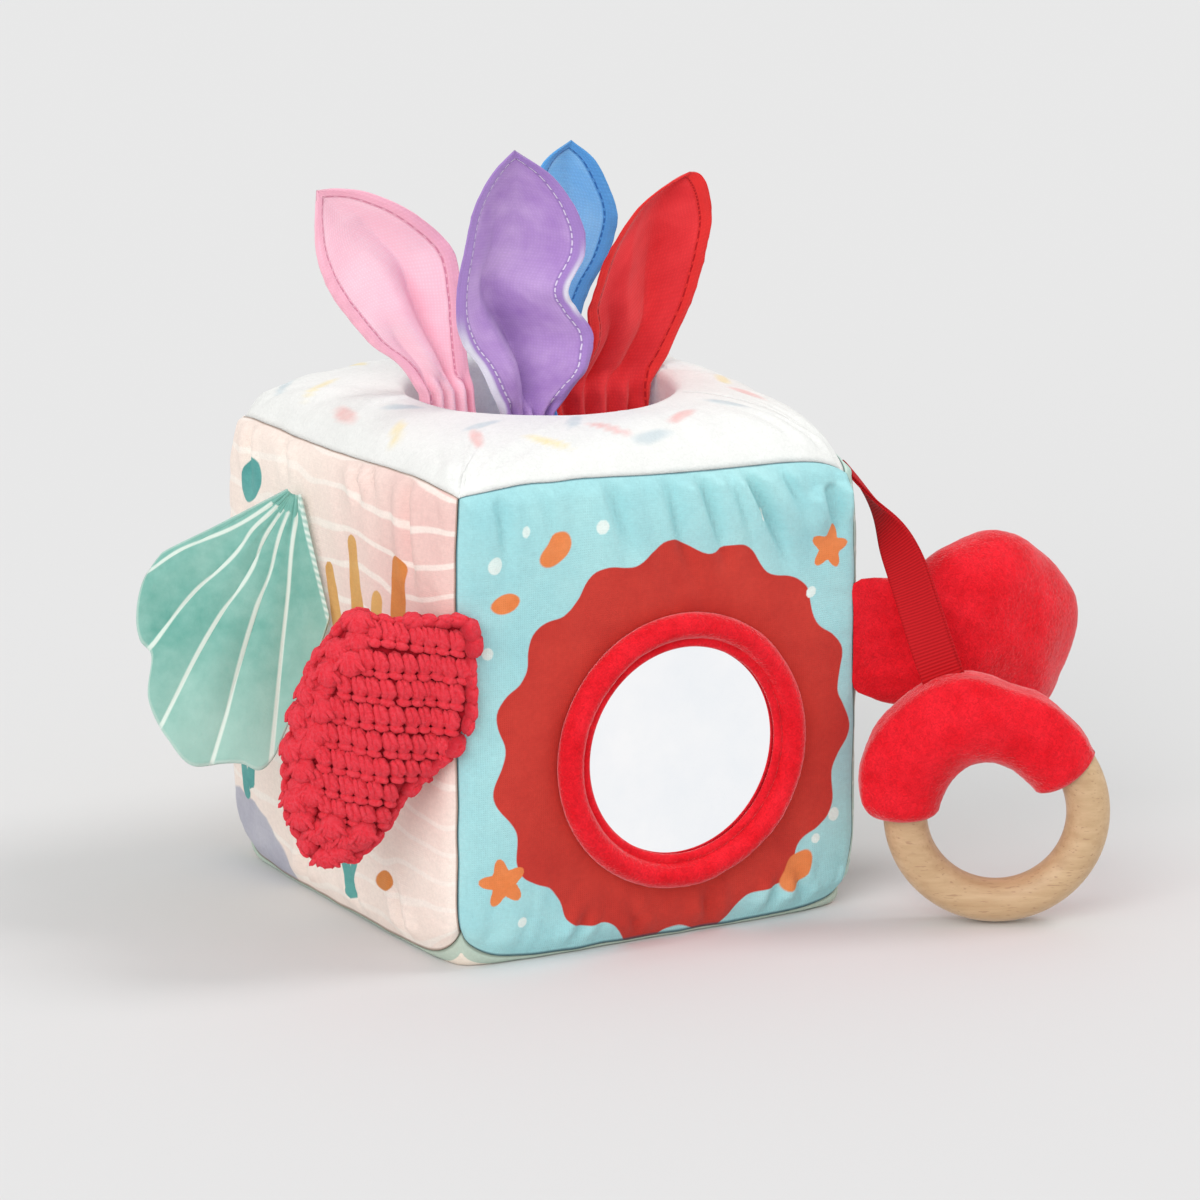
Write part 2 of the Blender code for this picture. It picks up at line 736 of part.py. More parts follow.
def ribbon_end_place():
    centre, sideways, facing = ring_frame()
    angle = math.radians(ribbon_angle)
    spoke = sideways * math.cos(angle) + up * math.sin(angle)
    return centre + spoke * (ring_radius + sleeve_off_ring + sleeve_section_radius + ribbon_end_gap)


def ribbon_root():
    """The middle of the ribbon's sewn end, and its direction to the back, in
    the seam between the top and the right panel."""
    half = half_size(0.0)
    ends = []
    for offset in (-ribbon_width / 2, ribbon_width / 2):
        across = (ribbon_seam_y + offset) / half.y
        ends.append(panel_point("right", across, 1.0, 0.0, panel_crown))
    middle = (ends[0] + ends[1]) / 2
    outward = Vector((1, 0, 1)).normalized()
    along_seam = (ends[1] - ends[0]).normalized()
    return middle + outward * (ribbon_doubled / 2 + ribbon_seam_gap), along_seam


def ribbon_rows(root, along_seam):
    """The ribbon leaves the top seam with its face up and twists as it falls,
    to lie in the ring's plane."""
    centre, sideways, facing = ring_frame()
    end = ribbon_end_place()
    angle = math.radians(ribbon_angle)
    end_across = sideways * math.sin(angle) - up * math.cos(angle)
    end_spoke = sideways * math.cos(angle) + up * math.sin(angle)
    dip = math.radians(ribbon_dip)
    leaving = along_seam.cross(up).normalized() * math.cos(dip) - up * math.sin(dip)
    first = root + leaving * ribbon_root_handle
    second = end + end_spoke * ribbon_end_handle
    rows = []
    for step in range(ribbon_steps + 1):
        t = step / ribbon_steps
        s = 1 - t
        point = root * s**3 + first * 3 * s * s * t + second * 3 * s * t * t + end * t**3
        heading = ((first - root) * s * s + (second - first) * 2 * s * t + (end - second) * t * t).normalized()
        across = (-along_seam).lerp(end_across, smoothstep(t * 1.1))
        across = (across - heading * across.dot(heading)).normalized()
        rows.append([point + across * ribbon_width * (place - 0.5) for place in (0.0, 0.5, 1.0)])
    return rows


def make_ring_hanger(beech, plush, grosgrain):
    centre, sideways, facing = ring_frame()
    root, along_seam = ribbon_root()
    ribbon_pivot = add_pivot("ribbon_hinge", root)
    ribbon = add_piece("ribbon_strap", skin_rows(ribbon_rows(root, along_seam)), grosgrain, ribbon_pivot)
    add_thickness(ribbon, ribbon_doubled)

    sleeve_pivot = add_pivot("sleeve_hinge", ribbon_end_place(), ribbon_pivot)
    sleeve = skin_rings(sleeve_rings(centre, sideways, facing), joined=True)
    add_piece("ring_sleeve", sleeve, plush, sleeve_pivot, 60.0)

    ring_pivot = add_pivot("ring_axle", centre, sleeve_pivot)
    rings = []
    for step in range(ring_steps):
        angle = 2 * math.pi * step / ring_steps
        rings.append(section_ring(centre, sideways, facing, angle, ring_section_radius))
    add_piece("wooden_ring", skin_rings(rings, joined=True), beech, ring_pivot, 60.0)


def main():
    clear_scene()
    printed = {
        "front": finish_colour("aqua printed cotton", (0.28, 0.60, 0.62), 0.85),
        "back": finish_colour("cream printed cotton", (0.80, 0.66, 0.58), 0.85),
        "left": finish_colour("peach printed cotton", (0.82, 0.62, 0.54), 0.85),
        "right": finish_colour("sea green printed cotton", (0.36, 0.62, 0.58), 0.85),
        "bottom": finish_colour("sage cotton", (0.45, 0.55, 0.46), 0.85),
    }
    cottons = {
        "scarf_pink": finish_colour("pink cotton", (0.80, 0.32, 0.48), 0.8),
        "scarf_purple": finish_colour("purple cotton", (0.28, 0.13, 0.50), 0.8),
        "scarf_blue": finish_colour("blue cotton", (0.04, 0.20, 0.62), 0.8),
        "scarf_red": finish_colour("red cotton", (0.62, 0.01, 0.02), 0.8),
    }
    foam = finish_colour("board foam", (0.85, 0.83, 0.74), 0.9)
    wadding = finish_colour("polyester wadding", (0.86, 0.86, 0.86), 0.95)
    red_plush = finish_colour("red short-pile plush", (0.58, 0.01, 0.03), 0.9)
    white_plush = finish_colour("white short-pile plush", (0.86, 0.84, 0.80), 0.9)
    make_block(printed, foam)
    make_top(white_plush, wadding)
    make_lining(finish_colour("white lining cotton", (0.80, 0.80, 0.78), 0.85))
    make_mirror(finish_colour("acrylic mirror", (0.92, 0.93, 0.94), 0.03, 1.0), red_plush)
    make_scarves(cottons)
    make_shell(
        finish_colour("mint velvet", (0.28, 0.58, 0.50), 0.8),
        finish_colour("mint velvet back", (0.28, 0.58, 0.50), 0.8),
        finish_colour("crinkle film", (0.85, 0.87, 0.88), 0.3),
    )
    make_claws(red_plush, finish_colour("coral chenille crochet", (0.60, 0.03, 0.05), 0.95), wadding)
    make_ring_hanger(
        finish_colour("oiled beech", (0.62, 0.40, 0.22), 0.5), red_plush,
        finish_colour("red grosgrain", (0.56, 0.01, 0.02), 0.6),
    )


main()
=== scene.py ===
import math

import bmesh
import bpy
from mathutils import Matrix, Vector, noise


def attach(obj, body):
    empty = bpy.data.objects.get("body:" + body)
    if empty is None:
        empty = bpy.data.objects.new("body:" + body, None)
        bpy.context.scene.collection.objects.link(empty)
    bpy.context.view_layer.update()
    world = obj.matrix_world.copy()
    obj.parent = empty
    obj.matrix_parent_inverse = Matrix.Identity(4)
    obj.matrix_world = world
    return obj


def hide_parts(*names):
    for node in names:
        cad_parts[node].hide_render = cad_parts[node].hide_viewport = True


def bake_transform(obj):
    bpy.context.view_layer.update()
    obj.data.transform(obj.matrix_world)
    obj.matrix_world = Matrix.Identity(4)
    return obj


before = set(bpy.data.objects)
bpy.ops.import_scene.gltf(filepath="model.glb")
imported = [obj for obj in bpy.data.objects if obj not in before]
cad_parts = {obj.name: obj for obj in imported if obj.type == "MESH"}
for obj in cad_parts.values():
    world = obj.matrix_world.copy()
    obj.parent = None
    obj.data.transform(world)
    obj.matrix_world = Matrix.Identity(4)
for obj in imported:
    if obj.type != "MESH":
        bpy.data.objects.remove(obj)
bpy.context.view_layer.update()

# Soft fabric block. Metres, +Z up, the mirror faces -Y. The CAD forms are repeated here with more detail.
mm = 0.001
up = Vector((0, 0, 1))
noise.seed_set(5)     # the same jitter in every run


# Small tools used by every piece

def fromHex(code):
    values = [int(code[i:i + 2], 16) / 255 for i in (1, 3, 5)]
    return (*[v / 12.92 if v <= 0.04045 else ((v + 0.055) / 1.055) ** 2.4 for v in values], 1.0)


def addNode(tree, kind, inputs=None, **settings):
    # an input is a socket to link, a colour such as "#F2F0EC", or a plain value
    node = tree.nodes.new("ShaderNode" + kind)
    for name, value in settings.items():
        setattr(node, name, value)
    for name, value in (inputs or {}).items():
        if isinstance(value, bpy.types.NodeSocket):
            tree.links.new(value, node.inputs[name])
        else:
            node.inputs[name].default_value = fromHex(value) if isinstance(value, str) else value
    return node


def newMaterial(name, **sockets):
    material = bpy.data.materials.new(name)
    material.use_nodes = True
    shader = material.node_tree.nodes["Principled BSDF"]
    for socket, value in sockets.items():
        value = fromHex(value) if isinstance(value, str) else value
        shader.inputs[socket.replace("_", " ")].default_value = value
    return material, material.node_tree


def setLook(tree, colour, normal=None):
    # gives the shader its finished colour and bump
    shader = tree.nodes["Principled BSDF"]
    tree.links.new(colour, shader.inputs["Base Color"])
    if normal is not None:
        tree.links.new(normal, shader.inputs["Normal"])


def paintOver(tree, colour, paint, value, low=0.0, high=1.0, most=1.0):
    # lays paint on a colour where a value, a socket or an attribute's name, goes from low to high
    if isinstance(value, str):
        value = addNode(tree, "Attribute", attribute_name=value).outputs["Fac"]
    share = addNode(tree, "MapRange", {0: value, 1: low, 2: high, 4: most}).outputs[0]
    return addNode(tree, "Mix", {0: share, 6: colour, 7: paint}, data_type="RGBA").outputs[2]


def shadeBy(tree, colour, value, low, high, dark, light):
    # darkens and lightens a colour by a pattern
    level = addNode(tree, "MapRange", {0: value, 1: low, 2: high, 3: dark, 4: light}).outputs[0]
    grey = addNode(tree, "CombineColor", {0: level, 1: level, 2: level}).outputs[0]
    shaded = addNode(tree, "Mix", {0: 1.0, 6: colour, 7: grey}, data_type="RGBA", blend_type="MULTIPLY")
    return shaded.outputs[2]


def smoothstep(value):
    value = min(max(value, 0.0), 1.0)
    return value * value * (3 - 2 * value)


def between(low, high, value):
    return smoothstep((value - low) / (high - low))


def shareAt(shares, place):
    # reads a table of (place, share) pairs with a smooth curve between
    index = 0
    while index < len(shares) - 2 and place > shares[index + 1][0]:
        index += 1
    before, after = max(index - 1, 0), min(index + 2, len(shares) - 1)
    (startPlace, start), (endPlace, end) = shares[index], shares[index + 1]
    span = endPlace - startPlace
    t = min(max((place - startPlace) / span, 0.0), 1.0)
    slopeIn = (end - shares[before][1]) / (endPlace - shares[before][0])
    slopeOut = (shares[after][1] - start) / (shares[after][0] - startPlace)
    return (start * (2 * t**3 - 3 * t**2 + 1) + end * (3 * t**2 - 2 * t**3)
            + slopeIn * span * (t**3 - 2 * t**2 + t) + slopeOut * span * (t**3 - t**2))


def newObject(name, data):
    thing = bpy.data.objects.new(name, data)
    bpy.context.scene.collection.objects.link(thing)
    return thing


def newData(name, mesh):
    data = bpy.data.meshes.new(name)
    mesh.to_mesh(data)
    mesh.free()
    return data


def noiseAt(*place):
    return noise.noise(Vector(place))


def addPiece(name, mesh, material, body, replaced=()):
    # body is a name to attach the piece to, or a tuple (held, moving, start, end) for cloth at its sewn
    # line; the tuple is not used, and such a piece stays where it is built
    data = newData(name, mesh)
    data.shade_smooth()
    data.materials.append(material)
    piece = newObject(name, data)
    if isinstance(body, str):
        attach(piece, body)
    else:
        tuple(body[2])
        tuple(body[3])
        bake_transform(piece)
    if replaced:
        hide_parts(*replaced)
    return piece


def setFinish(node, finish):
    # a finish on a solid that keeps its own mesh
    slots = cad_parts[node].data.materials
    slots.clear()
    slots.append(finish)


def addThickness(piece, thickness, offset):
    solidify = piece.modifiers.new("Cloth thickness", "SOLIDIFY")
    solidify.thickness = thickness
    solidify.offset = offset
    solidify.use_even_offset = False


def closeSeams(mesh, outward=False):
    bmesh.ops.remove_doubles(mesh, verts=mesh.verts, dist=1e-6)
    if outward:
        bmesh.ops.recalc_face_normals(mesh, faces=mesh.faces)


def movedGrid(cellsU, cellsV, pointAt, uvAt=None, marks=None, wrapped=False):
    # a grid whose points, u and v from 0 to 1, are moved onto a form; marks are float attributes
    mesh = bmesh.new()
    bmesh.ops.create_grid(mesh, x_segments=cellsU, y_segments=cellsV, size=0.5)
    uvLayer = mesh.loops.layers.uv.new("UVMap")
    layers = {name: mesh.verts.layers.float.new(name) for name in (marks or {})}
    places = {corner: (corner.co.x + 0.5, corner.co.y + 0.5) for corner in mesh.verts}
    for face in mesh.faces:
        for loop in face.loops:
            u, v = places[loop.vert]
            loop[uvLayer].uv = uvAt(u, v) if uvAt else (u, v)
    for corner, (u, v) in places.items():
        for name, layer in layers.items():
            corner[layer] = marks[name](u, v)
        corner.co = pointAt(u, v)
    if wrapped:
        closeSeams(mesh, outward=True)
    return mesh


# Finishes

def threadBump(tree, coords, spacing, depth):
    # plain weave: two sets of threads crossing
    scale = 0.314159 / spacing
    sets = [addNode(tree, "TexWave", {"Vector": coords, "Scale": scale, "Distortion": 0.6, "Detail": 1.0},
                    wave_type="BANDS", bands_direction=direction).outputs["Fac"] for direction in "XY"]
    threads = addNode(tree, "Math", {0: sets[0], 1: sets[1]}, operation="MULTIPLY").outputs[0]
    bump = addNode(tree, "Bump", {"Height": threads, "Distance": depth, "Strength": 0.6})
    return bump.outputs[0], threads


def mottled(tree, coords, size, first, second, contrast=0.25):
    # watercolour or dye patches of a given size
    patches = addNode(tree, "TexNoise", {"Vector": coords, "Scale": 1 / size, "Detail": 4.0,
                                         "Roughness": 0.6})
    return paintOver(tree, first, second, patches.outputs["Fac"], 0.5 - contrast, 0.5 + contrast)


def printedCotton(name, ground, groundDark, prints, lines=None, seamThreadAndShade="#3A4A55"):
    # Printed cotton twill, brushed: matt, with watercolour patches, crisp print edges and a fine weave.
    # prints are (attribute, colour, dark colour, softness), each an attribute of signed millimetres
    material, tree = newMaterial(name, Roughness=0.88, Sheen_Weight=0.08, Sheen_Roughness=0.5,
                                 Specular_IOR_Level=0.2)
    panel = addNode(tree, "TexCoord").outputs["UV"]
    colour = mottled(tree, panel, 34 * mm, ground, groundDark)

    def ink(colour, wanted):
        for attribute, bright, dark, softness in prints:
            if (softness > 1) == (wanted == "washes"):
                inked = mottled(tree, panel, 16 * mm, bright, dark, 0.2)
                colour = paintOver(tree, colour, inked, attribute, softness, -softness)
        return colour

    colour = ink(colour, "washes")
    if lines:
        # common wavy lines, each about 1.5 mm wide and 9.6 mm apart
        wave = addNode(tree, "TexWave", {"Vector": panel, "Scale": 0.314159 / (9.6 * mm), "Distortion": 4.6,
                                         "Detail": 1.0, "Detail Scale": 1.1, "Detail Roughness": 0.3},
                       wave_type="BANDS", bands_direction="Y")
        colour = paintOver(tree, colour, lines, wave.outputs["Fac"], 0.89, 0.97, 0.7)
    colour = ink(colour, "motifs")
    weave = threadBump(tree, panel, 0.62 * mm, 0.10 * mm)[0]
    fibres = addNode(tree, "TexNoise", {"Vector": panel, "Scale": 1 / (1.3 * mm), "Detail": 3.0,
                                        "Roughness": 0.75})
    colour = shadeBy(tree, colour, fibres.outputs["Fac"], 0.3, 0.7, 0.94, 1.05)
    # the seam: a needle line in dark thread, plus a painted shade of the turned edge
    setLook(tree, paintOver(tree, colour, seamThreadAndShade, "seamDistance", 0.75, 0.25, 0.8), weave)
    return material


def shortPlush(name, look, paint=()):
    # Short-pile velboa, knitted and sheared: soft glow at its outline, tufts leaning in patches.
    material, tree = newMaterial(name, Roughness=0.92, Sheen_Weight=look["sheen"], Sheen_Roughness=0.3,
                                 Specular_IOR_Level=0.12, Sheen_Tint=look["glow"])
    place = addNode(tree, "TexCoord").outputs["Object"]
    colour = mottled(tree, place, look["patch"] * mm, look["dark"], look["bright"], 0.22)
    for attribute, tint in paint:
        colour = paintOver(tree, colour, tint, attribute)
    tufts = addNode(tree, "TexNoise", {"Vector": place, "Scale": 1 / (look["pile"] * mm), "Detail": 3.0,
                                       "Roughness": 0.62, "Distortion": 1.4}).outputs["Fac"]
    colour = shadeBy(tree, colour, tufts, 0.34, 0.66, *look["tuftShades"])
    bump = addNode(tree, "Bump", {"Height": tufts, "Distance": look["depth"] * mm, "Strength": 0.6})
    setLook(tree, colour, bump.outputs[0])
    return material


# Block panels

block = {
    "width": 126 * mm, "depth": 132 * mm, "top": 130 * mm, "foot": 2 * mm,
    "crown": 3.2 * mm, "pressedCrown": 2.4 * mm, "cloth": 0.9 * mm,
    "topRound": 4 * mm, "hangerSink": 4.5 * mm, "cornerRise": 3.4 * mm, "bottomRound": 5 * mm,
    "bottomLift": 6.5 * mm,
    "seamDip": 1.1 * mm, "seamReach": 4.5 * mm,     # how far a seam draws the cloth in, and from how far
    "cells": {"front": 132, "left": 108, "right": 84, "back": 84, "bottom": 72},
}
sides = {
    "front": (Vector((0, -1, 0)), Vector((1, 0, 0)), up),
    "back": (Vector((0, 1, 0)), Vector((-1, 0, 0)), up),
    "left": (Vector((-1, 0, 0)), Vector((0, -1, 0)), up),
    "right": (Vector((1, 0, 0)), Vector((0, 1, 0)), up),
}
blockHalf = Vector((block["width"] / 2, block["depth"] / 2, (block["top"] - block["foot"]) / 2))
blockMiddle = up * (block["top"] + block["foot"]) / 2


def roundCorner(point):
    reach = [min(abs(point[axis]) / blockHalf[axis], 1.0) for axis in range(3)]
    product = reach[0] * reach[1] * reach[2]
    if point.z < 0:
        lift = block["bottomLift"] * (1 - 0.6 * between(0, 50 * mm, point.x))
        return point + (up * lift - point.normalized() * block["bottomRound"]) * product**8
    inward = -point.normalized() * block["topRound"]
    if point.x > 0 > point.y:
        inward -= up * block["hangerSink"]
    rise = between(30 * mm, -44 * mm, point.x) * between(24 * mm, -56 * mm, point.y)
    rise *= between(0.7, 1.0, reach[2])
    return point + inward * product**6 + up * block["cornerRise"] * rise


def nearSeams(point):
    return [max(1 - (blockHalf[axis] - abs(point[axis])) / block["seamReach"], 0.0) for axis in range(3)]


def seamPull(point):
    # the cloth of both neighbours dips into the seam between them, but not up at the foot
    near = [share ** 2 for share in nearSeams(point)]
    pull = Vector()
    for axis in range(3):
        other = max(near[(axis + 1) % 3], near[(axis + 2) % 3])
        pull[axis] = -math.copysign(block["seamDip"] * near[axis] * other, point[axis])
    if point.z < 0:
        pull.z = 0.1 * pull.z - 1.1 * mm * near[2]
    wave = noise.noise_vector((point + blockMiddle) / (11 * mm)) * 0.45 * mm
    return pull + wave * sorted(near)[-2]


def gathers(run, edge, seed, length, amount, spacing=11 * mm):
    # puckers that leave a gathered seam and lean to one side, sharp in their valleys
    lean = (run - 0.3 * edge) / spacing
    folds = abs(noiseAt(lean, edge / (2.6 * length), seed))
    fine = abs(noiseAt(lean / 0.45, edge / length, seed + 7))
    fade = math.exp(-edge / length) * (1 - math.exp(-edge / (2 * mm)))
    return amount * (folds + 0.35 * fine) * fade


panelFolds = {     # (gathers at the top, bottom, left and right seams) in millimetres
    "front": (3.6, 2.4, 1.2, 1.6), "left": (2.2, 2.2, 1.4, 1.6),
    "right": (2.6, 2.2, 1.4, 1.4), "back": (2.6, 2.2, 1.4, 1.4),
}
# creases that leave a seam: (start, end, depth, half width), x from the panel's middle and z from the floor
panelCreases = {
    "front": [((-50, 127), (-47, 104), 0.9, 2.6), ((-38, 129), (-31, 108), 0.8, 2.4),
              ((-17, 130), (-8, 102), 1.3, 3.0), ((1, 130), (9, 98), 1.2, 2.6),
              ((11, 130), (21, 97), 1.5, 2.6), ((20, 130), (29, 106), 1.2, 2.0),
              ((25, 130), (42, 96), 2.3, 2.6), ((36, 129), (47, 110), 1.1, 2.2),
              ((53, 121), (56, 106), 2.6, 3.4), ((-28, 2), (-22, 16), 1.2, 2.4),
              ((-6, 2), (-12, 15), 1.0, 2.2), ((16, 2), (12, 18), 1.3, 2.6), ((34, 2), (38, 16), 1.2, 2.4),
              ((46, 3), (40, 20), 0.9, 2.4)],
    "left": [((-50, 128), (-46, 106), 1.0, 3.0), ((-30, 130), (-22, 112), 1.0, 2.4),
             ((12, 130), (20, 116), 1.3, 2.2), ((20, 130), (26, 121), 1.2, 1.6),
             ((42, 128), (50, 96), 1.2, 3.0), ((-20, 2), (-14, 22), 1.2, 3.0), ((14, 2), (8, 18), 1.0, 2.6),
             ((40, 3), (34, 22), 1.2, 2.6)],
    "right": [((-40, 129), (-34, 104), 1.3, 2.8), ((0, 130), (10, 106), 1.3, 2.6),
              ((36, 129), (42, 108), 1.2, 2.4), ((-14, 2), (-8, 20), 1.2, 2.6),
              ((30, 2), (24, 18), 1.2, 2.4)],
    "back": [((-30, 130), (-22, 104), 1.4, 2.8), ((8, 130), (16, 108), 1.2, 2.4),
             ((44, 128), (48, 106), 1.1, 2.4), ((-10, 2), (-4, 18), 1.2, 2.6),
             ((28, 2), (22, 20), 1.2, 2.4)],
}


def creaseLift(x, z, creases):
    lift = 0.0
    for (startX, startZ), (endX, endZ), depth, width in creases:
        runX, runZ = endX - startX, endZ - startZ
        length = math.hypot(runX, runZ)
        along = ((x - startX) * runX + (z - startZ) * runZ) / length**2
        if not -0.2 < along < 1:
            continue
        off = ((x - startX) * runZ - (z - startZ) * runX) / length / width
        fade = between(-0.15, 0.12, along) * (1 - between(0.3, 1.0, along))
        lift -= depth * (1.5 * math.exp(-off**2 * 1.6) - 1.2 * math.exp(-(abs(off) - 1.5) ** 2)) * fade
    return lift * mm


def spread(place):
    # even places from 0 to 1, a little closer together near the seams
    place = 2 * place - 1
    return 0.5 * place + 0.5 * math.sin(math.pi / 2 * place)


def panelPlace(side, u, v):
    normal, tangent, rise = sides[side]
    half = [abs(axis.dot(blockHalf)) for axis in (normal, tangent, rise)]
    return spread(u) * half[1], spread(v) * half[2], half


def coverPoint(side, u, v):
    normal, tangent, rise = sides[side]
    run, height, half = panelPlace(side, u, v)
    a, b = run / half[1], height / half[2]
    base = normal * half[0] + tangent * run + rise * height
    bulge = (1 - a**6) * (1 - b**6)
    topFolds, bottomFolds, leftFolds, rightFolds = panelFolds[side]
    seed = 10 * (ord(side[0]) % 13)
    lift = (gathers(run, half[2] - height, seed, 24 * mm, topFolds * mm)
            + gathers(run, half[2] + height, seed + 1, 16 * mm, bottomFolds * mm)
            + gathers(height, half[1] + run, seed + 2, 12 * mm, leftFolds * mm)
            + gathers(height, half[1] - run, seed + 3, 12 * mm, rightFolds * mm))
    lift += noiseAt(run / (42 * mm), height / (42 * mm), seed) * 0.8 * mm * bulge
    lift += creaseLift(run / mm, (height + blockMiddle.z) / mm, panelCreases[side])
    free = 1 - sorted(nearSeams(base))[-2]
    rise = max(block["crown"] * bulge + lift * free, 0.15 * mm)     # the foam board holds it up
    if side == "front":
        # held flat behind the mirror
        centre = Vector((run, height + blockMiddle.z)) - Vector((mirror["x"], mirror["z"]))
        pressed = 1 - between(34 * mm, 44 * mm, centre.length)
        rise += (block["pressedCrown"] - rise) * pressed
    point = base + normal * rise
    point = blockMiddle + roundCorner(point) + seamPull(base)
    point.z = max(point.z, 0.1 * mm)
    return point


def lobed(x, y, shape):
    # signed millimetres to a shape (x, y, radius, lobes, depth, turn, stretch), a bar where lobes is -1
    cx, cy, radius, lobes, depth, turn, stretch = shape
    dx, dy = x - cx, y - cy
    c, s = math.cos(turn), math.sin(turn)
    along, off = dx * c + dy * s, -dx * s + dy * c
    if lobes < 0:
        half = radius * (stretch - 1)
        taper = radius * (1 - depth * (along / half + 1) / 2)
        return math.hypot(along - min(max(along, -half), half), off) - taper
    along /= stretch
    return math.hypot(along, off) - radius * (1 + depth * math.cos(lobes * math.atan2(off, along)))


# Generic shapes in millimetres on each panel: x from its middle, y from the floor
printShapes = {
    "front": {
        "roundPrint": [(3, 56, 54.5, 15, 0.038, 0.35, 1.0)],
        "warmPrint": [(-50, 24, 5.4, 5, 0.30, 0.5, 1.0), (52, 104, 5.0, 5, 0.30, 0.1, 1.0),
                      (-34, 114, 3.2, 0, 0, 0.6, 1.7), (-49, 101, 2.6, 0, 0, 0.2, 1.6),
                      (42, 14, 4.0, 0, 0, 0.9, 1.6)],
        "paleBubble": [(-52, 112, 2.3, 0, 0, 0, 1), (-43, 119, 1.5, 0, 0, 0, 1),
                       (-20, 118, 1.8, 0, 0, 0, 1), (46, 92, 1.6, 0, 0, 0, 1), (-54, 88, 1.7, 0, 0, 0, 1),
                       (54, 28, 2.0, 0, 0, 0, 1), (48, 22, 1.3, 0, 0, 0, 1), (-44, 12, 1.6, 0, 0, 0, 1),
                       (30, 116, 1.5, 0, 0, 0, 1)],
    },
    "left": {
        "blush": [(54, 108, 40, 0, 0, 1.2, 1.25)],
        "ochrePrint": [(5, 87, 3.6, -1, 0.35, 1.9, 4.2), (17, 94, 4.0, -1, 0.35, 1.75, 4.6),
                       (28, 86, 3.6, -1, 0.2, 1.5, 3.6)],
        "warmPrint": [(40, 93, 4.3, -1, 0.1, 1.5, 4.2), (53, 85, 4.2, -1, 0.05, 1.5, 3.0),
                      (30, 17, 2.8, 0, 0, 0.35, 1.8), (-16, 27, 2.2, 0, 0, 0.6, 2.0),
                      (-34, 62, 3.2, 5, 0.3, 0.2, 1.0)],
        "tealPrint": [(-46, 113, 5.4, 0, 0, 0.9, 1.4), (6, 20, 2.6, -1, 0.4, 2.0, 5.0),
                      (12, 14, 2.0, -1, 0.3, 1.2, 4.0), (-54, 32, 2.6, -1, 0.3, 1.8, 5.0),
                      (-47, 34, 2.2, -1, 0.3, 1.4, 5.0)],
        "greyPrint": [(-48, 8, 11, 0, 0, 2.8, 2.0), (-58, 40, 3.4, 0, 0, 1.2, 2.0)],
    },
    "right": {
        "warmPrint": [(-36, 32, 5.0, 5, 0.3, 0.3, 1.0), (34, 90, 3.4, 0, 0, 0.8, 2.2),
                      (10, 20, 3.0, 0, 0, 0.2, 2.0)],
        "paleBubble": [(-20, 98, 2.6, 0, 0, 0, 1), (-10, 106, 1.8, 0, 0, 0, 1), (44, 40, 2.2, 0, 0, 0, 1),
                       (20, 60, 2.0, 0, 0, 0, 1), (-46, 66, 2.0, 0, 0, 0, 1)],
    },
    "back": {
        "tealPrint": [(-36, 30, 2.6, -1, 0.3, 1.7, 6.0), (-27, 26, 2.2, -1, 0.3, 1.3, 5.0),
                      (40, 60, 4.0, 0, 0, 0.7, 2.4)],
        "warmPrint": [(26, 28, 5.2, 5, 0.3, 0.2, 1.0), (-36, 96, 2.6, -1, 0.2, 0.9, 4.4),
                      (6, 92, 2.4, -1, 0.2, 1.2, 4.4)],
    },
}
mirror = {"x": 4 * mm, "z": 54 * mm, "face": 68.5 * mm}
coverLook = {
    "front": printedCotton("aqua printed cotton", "#B4E4E5", "#9AD2D8",
                           [("roundPrint", "#CE3F34", "#BE342C", 0.18),
                            ("warmPrint", "#EE9158", "#E37E43", 0.18),
                            ("paleBubble", "#EAF5F0", "#DCF0EC", 0.18)], seamThreadAndShade="#2F4C5A"),
    "left": printedCotton("peach printed cotton", "#FAEEE4", "#F6E3D8",
                          [("blush", "#EFCDC5", "#EAC3BD", 26), ("greyPrint", "#C3C2CB", "#AFAEBC", 0.4),
                           ("tealPrint", "#6CB3AC", "#529A97", 0.18),
                           ("ochrePrint", "#E2B06C", "#D39A55", 0.18),
                           ("warmPrint", "#E0924F", "#D07C3B", 0.18)],
                          lines="#FBF3EA", seamThreadAndShade="#A08676"),
    "right": printedCotton("sea green printed cotton", "#C4DDD2", "#AECBC1",
                           [("warmPrint", "#E59A66", "#D98650", 0.18),
                            ("paleBubble", "#EAF1E8", "#DDEAE2", 0.18)],
                           lines="#D3E6DD", seamThreadAndShade="#4A6A62"),
    "back": printedCotton("cream printed cotton", "#F6E8DA", "#F1DACC",
                          [("tealPrint", "#6CB3AC", "#529A97", 0.18),
                           ("warmPrint", "#E2A263", "#D38745", 0.18)],
                          lines="#FBF2E8", seamThreadAndShade="#A08676"),
}


def makeSideCovers():
    for side in sides:
        def places(u, v, side=side):
            run, height, half = panelPlace(side, u, v)
            return run / mm, (height + blockMiddle.z) / mm

        def seamDistance(u, v, side=side):
            run, height, half = panelPlace(side, u, v)
            return min(half[1] - abs(run), half[2] - abs(height)) / mm

        marks = {"seamDistance": seamDistance}
        for attribute, shapes in printShapes[side].items():
            def region(u, v, shapes=shapes, places=places):
                x, y = places(u, v)
                ragged = 0.5 * noiseAt(x / 5, y / 5, 3)
                return min(lobed(x, y, shape) for shape in shapes) + ragged
            marks[attribute] = region
        mesh = movedGrid(block["cells"][side], block["cells"][side],
                         lambda u, v, side=side: coverPoint(side, u, v),
                         lambda u, v, places=places: tuple(value * mm for value in places(u, v)), marks)
        # the grid's own faces point along tangent x rise, which is outwards here
        cover = addPiece("cover_" + side, mesh, coverLook[side], "block", [side + "_cover"])
        addThickness(cover, block["cloth"], -1.0)
    print("side covers made", flush=True)


# Bottom: sage border with a cream field, turning under close to its seam

